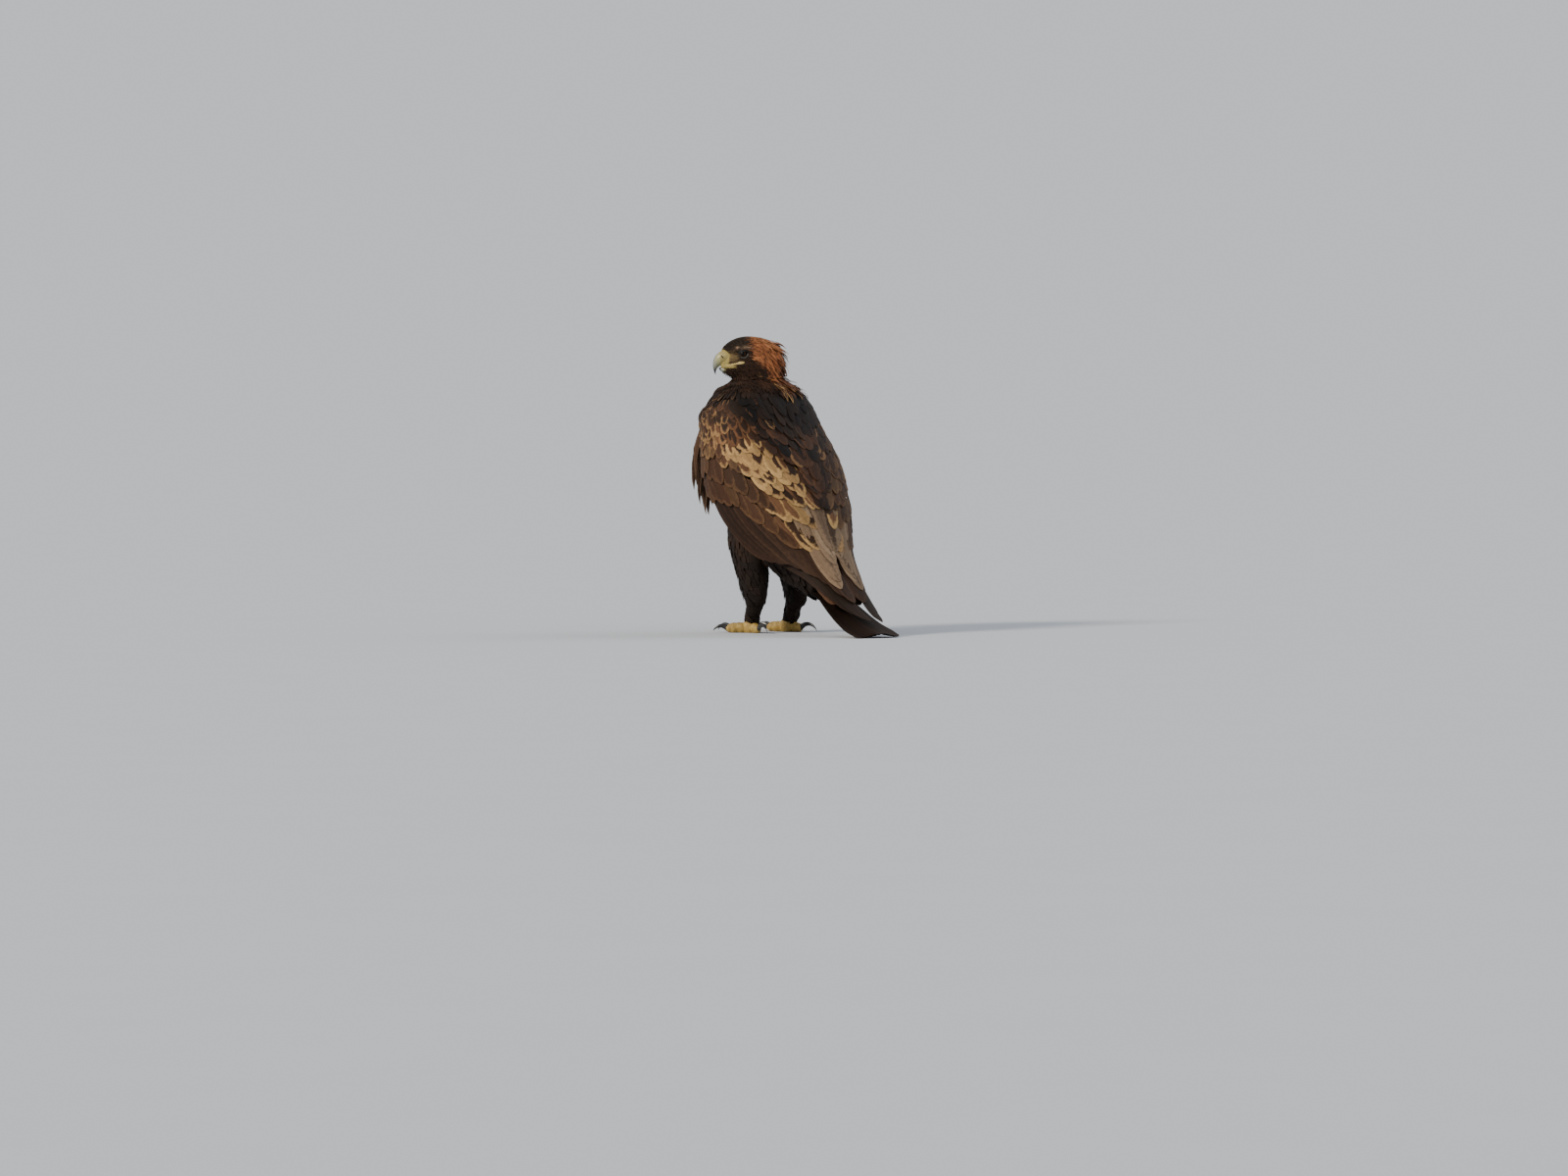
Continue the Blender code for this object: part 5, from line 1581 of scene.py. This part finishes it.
def wing(side, finish):
    word = "left" if side > 0 else "right"
    dice = np.random.default_rng(40 + side)
    pieces = [flight_row(name, side, dice) for name in FLIGHT_ROWS]
    pieces += coverts(side, dice) + scapulars(side, dice) + lower_back(side, dice)
    made = merged("wing_feathers_" + word, pieces)
    print("wing", word, len(made.data.polygons), "triangles")
    put(made, finish, ["wing_" + word])


# Tail


def tail_feathers():
    """Twelve long feathers, the middle pair uppermost, laid along the floor."""
    shape = SHAPES["tail"]
    dice = np.random.default_rng(9)
    rank = np.arange(12)
    pair = rank // 2
    side = np.where(rank % 2, 1, -1)
    across = side * (pair + 0.5) / 5.5
    level = np.maximum(11 - rank, 1) - 1
    end = TAIL_TIP_ALONG - 0.010 * across**2 + dice.normal(0, 0.0015, 12)
    along = mix(0.435, end[:, None], shape.shares[None, :])
    centre, _, back = body_frame(along)
    spine = centre + back * ((level - 6) * 0.00085)[:, None, None]
    spine[..., 0] += across[:, None] * mix(0.017, 0.046, shape.shares[None, :])
    spine[..., 2] = np.maximum(spine[..., 2], 0.0005 + level[:, None] * 0.00085)
    grid, ways = vane_grid(shape, spine, back, np.full(12, 0.0150), dice, 0.004)
    centre_colour = blend(BLACKISH, DARK, dice.random(12))
    colours = with_alpha(centre_colour, 0.08), with_alpha(blend(DARK, BROWN, 0.4 * dice.random(12)), 0.02)
    patch = np.stack([0.5 + across * 0.4, np.full(12, 0.3) + 0.03 * level], -1)
    return vanes("tail_feathers", shape, grid, ways, colours, patch, dice)


# Contour feathers

HACKLE_END = 0.054


def region_shares(points):
    """How far along the body each point of the skin is, its angle round the body, and how far out it lies as a share of
    the trunk's section.
    """
    along, centre, back = body_place(points, np.full(len(points), 0.15), 5)
    up = ((points - centre) * back).sum(-1)
    sideways = np.abs(points[:, 0])
    half, deep = section(along, False, up)
    size = (np.abs(sideways / half) ** SECTION_POWER + np.abs(up / deep) ** SECTION_POWER) ** (1 / SECTION_POWER)
    angle = np.degrees(np.arctan2(sideways / half, up / deep))
    return along, angle, size


def in_ruff(forward, height):
    """The small feathers in the fold where the head's dark underside meets the body."""
    return (height > 0.476) & (height < 0.508) & (forward > GOLD_EDGE(height) + 0.004)


def spacing_on(points):
    """How far apart roots are at points of the skin, 0 where nothing grows."""
    forward, side = head_place(points)
    height = points[:, 2]
    along, angle, size = region_shares(points)
    face = mix(0.0029, 0.0017, ease(forward, 0.000, 0.040))
    spacing = mix(face, 0.0046, ease(-forward, -0.006, 0.010))
    spacing = mix(spacing, 0.0050, ease(-height, -0.515, -0.500))
    spacing = mix(spacing, 0.0064, ease(-height, -0.490, -0.470))
    spacing = np.where(in_ruff(forward, height), 0.0035, spacing)
    lore = spot_share(forward, height, (0.0450, 0.5395), (0.0100, 0.0080))
    spacing = np.where(lore > 0.55, 0.0026, spacing)
    lower = (height < 0.478) & (along > HACKLE_END)
    spacing = np.where(lower, mix(0.0072, 0.0100, ease(-height, -0.470, -0.420)), spacing)
    leg = (height < 0.215) & (along < 0.36) & (size > 1.04)
    spacing = np.where(leg, mix(0.0084, 0.0044, ease(-height, -0.110, -0.060)), spacing)
    wing = (along > HACKLE_END) & (angle > WING_BACK(along) + 14) & (angle < WING_FRONT(along) - 13) & ~leg
    tail = (along > 0.44) | ((along > 0.33) & (angle < 90))
    under_wing = (along > 0.10) & (angle < WING_BACK(along) + 14) & ~leg
    spacing = np.where(lower & (wing | tail | under_wing), 0.0, spacing)
    bare = (forward > CERE_EDGE(height)) & (height > 0.5185) & (height < 0.5535)
    lip = (forward > 0.0200) & (np.abs(height - GAPE_LINE(forward)) < 0.0026)
    lip = lip | ((forward > 0.0420) & (height > 0.5185) & (height < 0.5235))
    socket = np.hypot((forward - EYE_FORWARD) / 0.0112, (height - EYE_Z + 0.0006) / 0.0080) < 1
    hidden = bare | lip | (socket & (np.abs(side) > 0.02)) | (height < 0.021)
    return np.where(hidden, 0.0, spacing)


def group_sizes(name, near, spots, forward, gold, dice):
    """Shape, length, half width, stand, looseness and the margin's widths for a group of contour feathers."""
    count = len(near)
    vary = mix(0.82, 1.22, dice.random(count))
    nought = np.zeros(count)
    # Those over the fold under the head are longer and hang clear of it
    height = spots[:, 2]
    fold = ease(height, 0.500, 0.506) * ease(-height, -0.522, -0.510) * (1 - gold)
    if name == "face":
        stand = (0.0010 + 0.0022 * fold) * vary
        return "tiny", near * (3.2 + 2.6 * fold) * vary, near * (0.42 + 0.10 * fold), stand, 0.7 * fold, 0.12, 0.06
    if name == "crown":
        return "tiny", near * 3.4 * vary, near * 0.52, 0.0012 * vary, nought, 0.16, 0.10
    if name == "nape":
        rear = ease(-forward, 0.004, 0.034)
        raised = dice.random(count) < 0.30
        stand = (mix(0.0014, np.where(raised, 0.0088, 0.0026), rear) + 0.0026 * fold) * vary
        loose = np.maximum(0.30 * rear * vary, 0.75 * fold)
        half_width = near * np.where(raised, 0.54 + 0.30 * rear, 0.54) * vary
        return "hackle", near * (mix(4.0, 5.2, rear) + 1.4 * fold) * vary, half_width, stand, loose, 0.28, 0.20
    if name == "ruff":
        return "tiny", near * 4.4 * vary, near * 0.60 * vary, 0.0022 * vary, nought, 0.16, 0.10
    if name == "mantle":
        return "body", near * 4.2 * vary, near * 0.72 * vary, 0.0042 * vary, 0.05 * vary, 0.20, 0.10
    if name == "breast":
        return "body", near * 3.8 * vary, near * 0.74 * vary, 0.0036 * vary, 0.12 * vary, 0.24, 0.12
    return "body", near * 3.8 * vary, near * 0.62 * vary, 0.0030 * vary, 0.10 * vary, 0.20, 0.08


def contour_feathers(ground, finishes):
    """The small feathers of the head, neck, trunk and legs."""
    dice = np.random.default_rng(5)
    roots = ground.scatter(spacing_on, dice)
    spacing = spacing_on(roots)
    roots, spacing = roots[spacing > 0], spacing[spacing > 0]
    height = roots[:, 2]
    forward, side = head_place(roots)
    along, angle, size = region_shares(roots)
    colour, gold = head_body_colours(roots)
    front = (height > 0.505) & (forward > 0.004)
    leg = (height < 0.215) & (along < 0.36) & (size > 1.04)
    upper = (height > 0.478) | (along < HACKLE_END)
    ruff = in_ruff(forward, height) & ~front
    cape = upper & (height < 0.484) & (gold < 0.2) & ~ruff
    groups = {
        "face": front & (height < 0.562),
        "crown": front & (height >= 0.562),
        "nape": upper & ~front & ~cape & ~ruff,
        "ruff": ruff,
        "mantle": cape,
        "breast": ~upper & ~leg,
        "legs": leg,
    }
    for name, chosen in groups.items():
        spots, near = roots[chosen], spacing[chosen]
        count = len(spots)
        tint = colour[chosen] * mix(0.72, 1.32, dice.random((count, 1)))
        kind, length, width, stand, loose, rim, tip = group_sizes(
            name, near, spots, forward[chosen], gold[chosen], dice
        )
        tips = blend(tint * 1.25, GOLD, 0.35 * gold[chosen] * dice.random(count))
        if name == "mantle":
            # Ochre edges over the wing's bend
            bend = ease(angle[chosen], 55, 75) * ease(-angle[chosen], -118, -105)
            tips = blend(tips, (0.190, 0.105, 0.050), bend * (dice.random(count) < 0.40) * 0.8)
        if name == "nape":
            # Pale-edged feathers where the golden nape meets the dark back
            collar = height[chosen] - (0.5035 + 0.43 * (forward[chosen] + 0.0015))
            pale = np.exp(-((collar / 0.0090) ** 2)) * (dice.random(count) < 0.70)
            tips = blend(tips, blend(BUFF, STRAW, 0.5), pale * 0.9)
            tips = blend(tips, DARK, (dice.random(count) < 0.30) * (1 - pale) * 0.75)
        patch = body_patch(along[chosen], angle[chosen] * np.sign(spots[:, 0]))
        if name in ("face", "crown", "nape", "ruff"):
            around = np.arctan2(side[chosen], height[chosen] - 0.53)
            drop = (0.55 - height[chosen]) * 1.5
            patch = np.stack([0.5 + around / 7.0, 0.5 - forward[chosen] * 6.0 - drop], -1)
        colours = with_alpha(tint, rim), with_alpha(tips, tip)
        made = laid_vanes(
            name + "_feathers", kind, ground, spots, length, width, stand, loose, colours, patch, dice
        )
        print("coat", name, count, "vanes", len(made.data.polygons), "triangles")
        put(made, finishes[name])


def flank_feathers(finish):
    """Long loose feathers of the breast's sides, which hang clear of the belly."""
    dice = np.random.default_rng(77)
    shape = SHAPES["lance"]
    count = 26
    pieces = []
    for side in (1, -1):
        share = (np.arange(count) + dice.random(count)) / count
        along = 0.050 + 0.095 * share
        angle = (129 + 26 * share + dice.normal(0, 2.0, count)) * side
        root, out = surface(along, angle, False, -0.003)
        length = (0.134 - 0.030 * share) * mix(0.72, 1.0, dice.random(count))
        spread = 0.008 - 0.0075 * share
        fall = np.stack([side * spread * 0.79, -spread * 0.62, -length], 1)
        fall[:, :2] += dice.normal(0, 0.003, (count, 2))
        level = unit(out * (1, 1, 0))
        stand = (0.018 if side > 0 else 0.009) * mix(0.5, 1.0, dice.random(count))
        swing = np.sin(shape.shares * 2.2)[None, :] * stand[:, None]
        spine = root[:, None] + fall[:, None] * shape.shares[None, :, None] + level[:, None] * swing[..., None]
        turn = mix(0.4, 1.8, dice.random((count, 1))) if side > 0 else 0.1
        turned = unit(level + np.array((0.0, 1.0, 0.0)) * turn)
        outs = np.broadcast_to(turned[:, None], spine.shape)
        grid, ways = vane_grid(shape, spine, outs, 0.0080 * mix(0.7, 1.1, dice.random(count)), dice, 0.2)
        tint = blend(blend(DARK, BROWN, 0.8), (0.070, 0.034, 0.018), dice.random(count))
        colours = with_alpha(tint, 0.2), with_alpha(blend(tint, (0.110, 0.070, 0.045), 0.5), 0.15)
        pieces.append(vanes("flank", shape, grid, ways, colours, body_patch(along, angle), dice))
    put(merged("flank_feathers", pieces), finish)


# Stage


CAMERA_AZIMUTH, CAMERA_ELEVATION = 142, 2
CAMERA_DISTANCE = 12.0
PIXELS_PER_METRE = 520.0
FRAME_WIDTH, SENSOR = 1600, 36.0


def camera():
    """A long lens from behind the bird's left, with the photo's framing."""
    lens = PIXELS_PER_METRE * CAMERA_DISTANCE * SENSOR / FRAME_WIDTH
    to_camera = direction(CAMERA_AZIMUTH, CAMERA_ELEVATION)
    right = Vector((-to_camera.y, to_camera.x, 0)).normalized()
    target = Vector(SHIFT) + right * (15 / PIXELS_PER_METRE) + Vector((0, 0, 45 / PIXELS_PER_METRE))
    data = bpy.data.cameras.new("camera")
    data.lens = lens
    data.sensor_width = SENSOR
    data.clip_end = 200
    made = bpy.data.objects.new("camera", data)
    made.location = target + to_camera * CAMERA_DISTANCE
    made.rotation_euler = (-to_camera).to_track_quat("-Z", "Y").to_euler()
    bpy.context.scene.collection.objects.link(made)
    bpy.context.scene.camera = made


WORLD_LIGHT = np.array((0.70, 0.715, 0.74))
SUNS = [
    # name, azimuth, elevation, power, softness, colour
    ("key", 84, 32, 3.2, 12, (1.0, 0.90, 0.76)),
    ("rim", 262, 40, 0.7, 30, (0.95, 0.97, 1.0)),
]


def direction(azimuth, elevation):
    """The way towards a place at an azimuth and an elevation in degrees. Azimuth 0 is -Y and 90 is +X."""
    turn, rise = math.radians(azimuth), math.radians(elevation)
    return Vector((math.sin(turn) * math.cos(rise), -math.cos(turn) * math.cos(rise), math.sin(rise)))


def stage():
    """A plain pale floor that meets an even backdrop, with soft light, brightest from the camera's left."""
    bpy.ops.mesh.primitive_circle_add(vertices=96, radius=80, fill_type="NGON")
    floor = bpy.context.object
    floor.name = "floor"
    received = WORLD_LIGHT.copy()
    for name, azimuth, elevation, power, softness, colour in SUNS:
        data = bpy.data.lights.new(name, "SUN")
        data.energy = power
        data.angle = math.radians(softness)
        data.color = colour
        lamp = bpy.data.objects.new(name, data)
        lamp.rotation_euler = (-direction(azimuth, elevation)).to_track_quat("-Z", "Y").to_euler()
        bpy.context.scene.collection.objects.link(lamp)
        received += np.array(colour) * power * math.sin(math.radians(elevation)) / math.pi
    # The floor returns as much light as the backdrop gives, so that the two meet without a line
    pale = WORLD_LIGHT / received
    made, tree, shader = shader_material("floor_pale", 1.0, 0.0)
    w = Wiring(tree)
    grain = w.noise(6.0, 2.0, w.place())
    w.link(w.mix(grain, tuple(pale * 0.985), tuple(pale * 1.015)), shader.inputs["Base Color"])
    floor.data.materials.append(made)
    world = bpy.data.worlds.new("studio")
    world.use_nodes = True
    world.node_tree.nodes["Background"].inputs["Color"].default_value = (*WORLD_LIGHT, 1)
    bpy.context.scene.world = world


def main():
    skin = build_skin()
    ground = Ground(skin)
    finishes = {
        "face": plumage("plumage_face", 8, 0.75),
        "crown": plumage("plumage_crown", 10, 0.75),
        "nape": plumage("plumage_nape", 30),
        "ruff": plumage("plumage_ruff", 14, 0.75),
        "mantle": plumage("plumage_mantle", 32),
        "breast": plumage("plumage_breast", 34),
        "legs": plumage("plumage_legs", 30),
    }
    contour_feathers(ground, finishes)
    flank_feathers(finishes["breast"])
    colours = head_body_colours(ground.points)[0]
    colour_attribute(skin.data, "markings_and_painted_shade", colours)
    flesh = ["torso", "neck", "head", "thigh_left", "thigh_right", "tarsus_left", "tarsus_right"]
    put(skin, skin_material(), flesh)
    wing_finish = plumage("plumage_wing", 90)
    wing(1, wing_finish)
    wing(-1, wing_finish)
    put(tail_feathers(), wing_finish, ["tail"])
    build_head_details(ground)
    feet()
    camera()
    stage()


main()
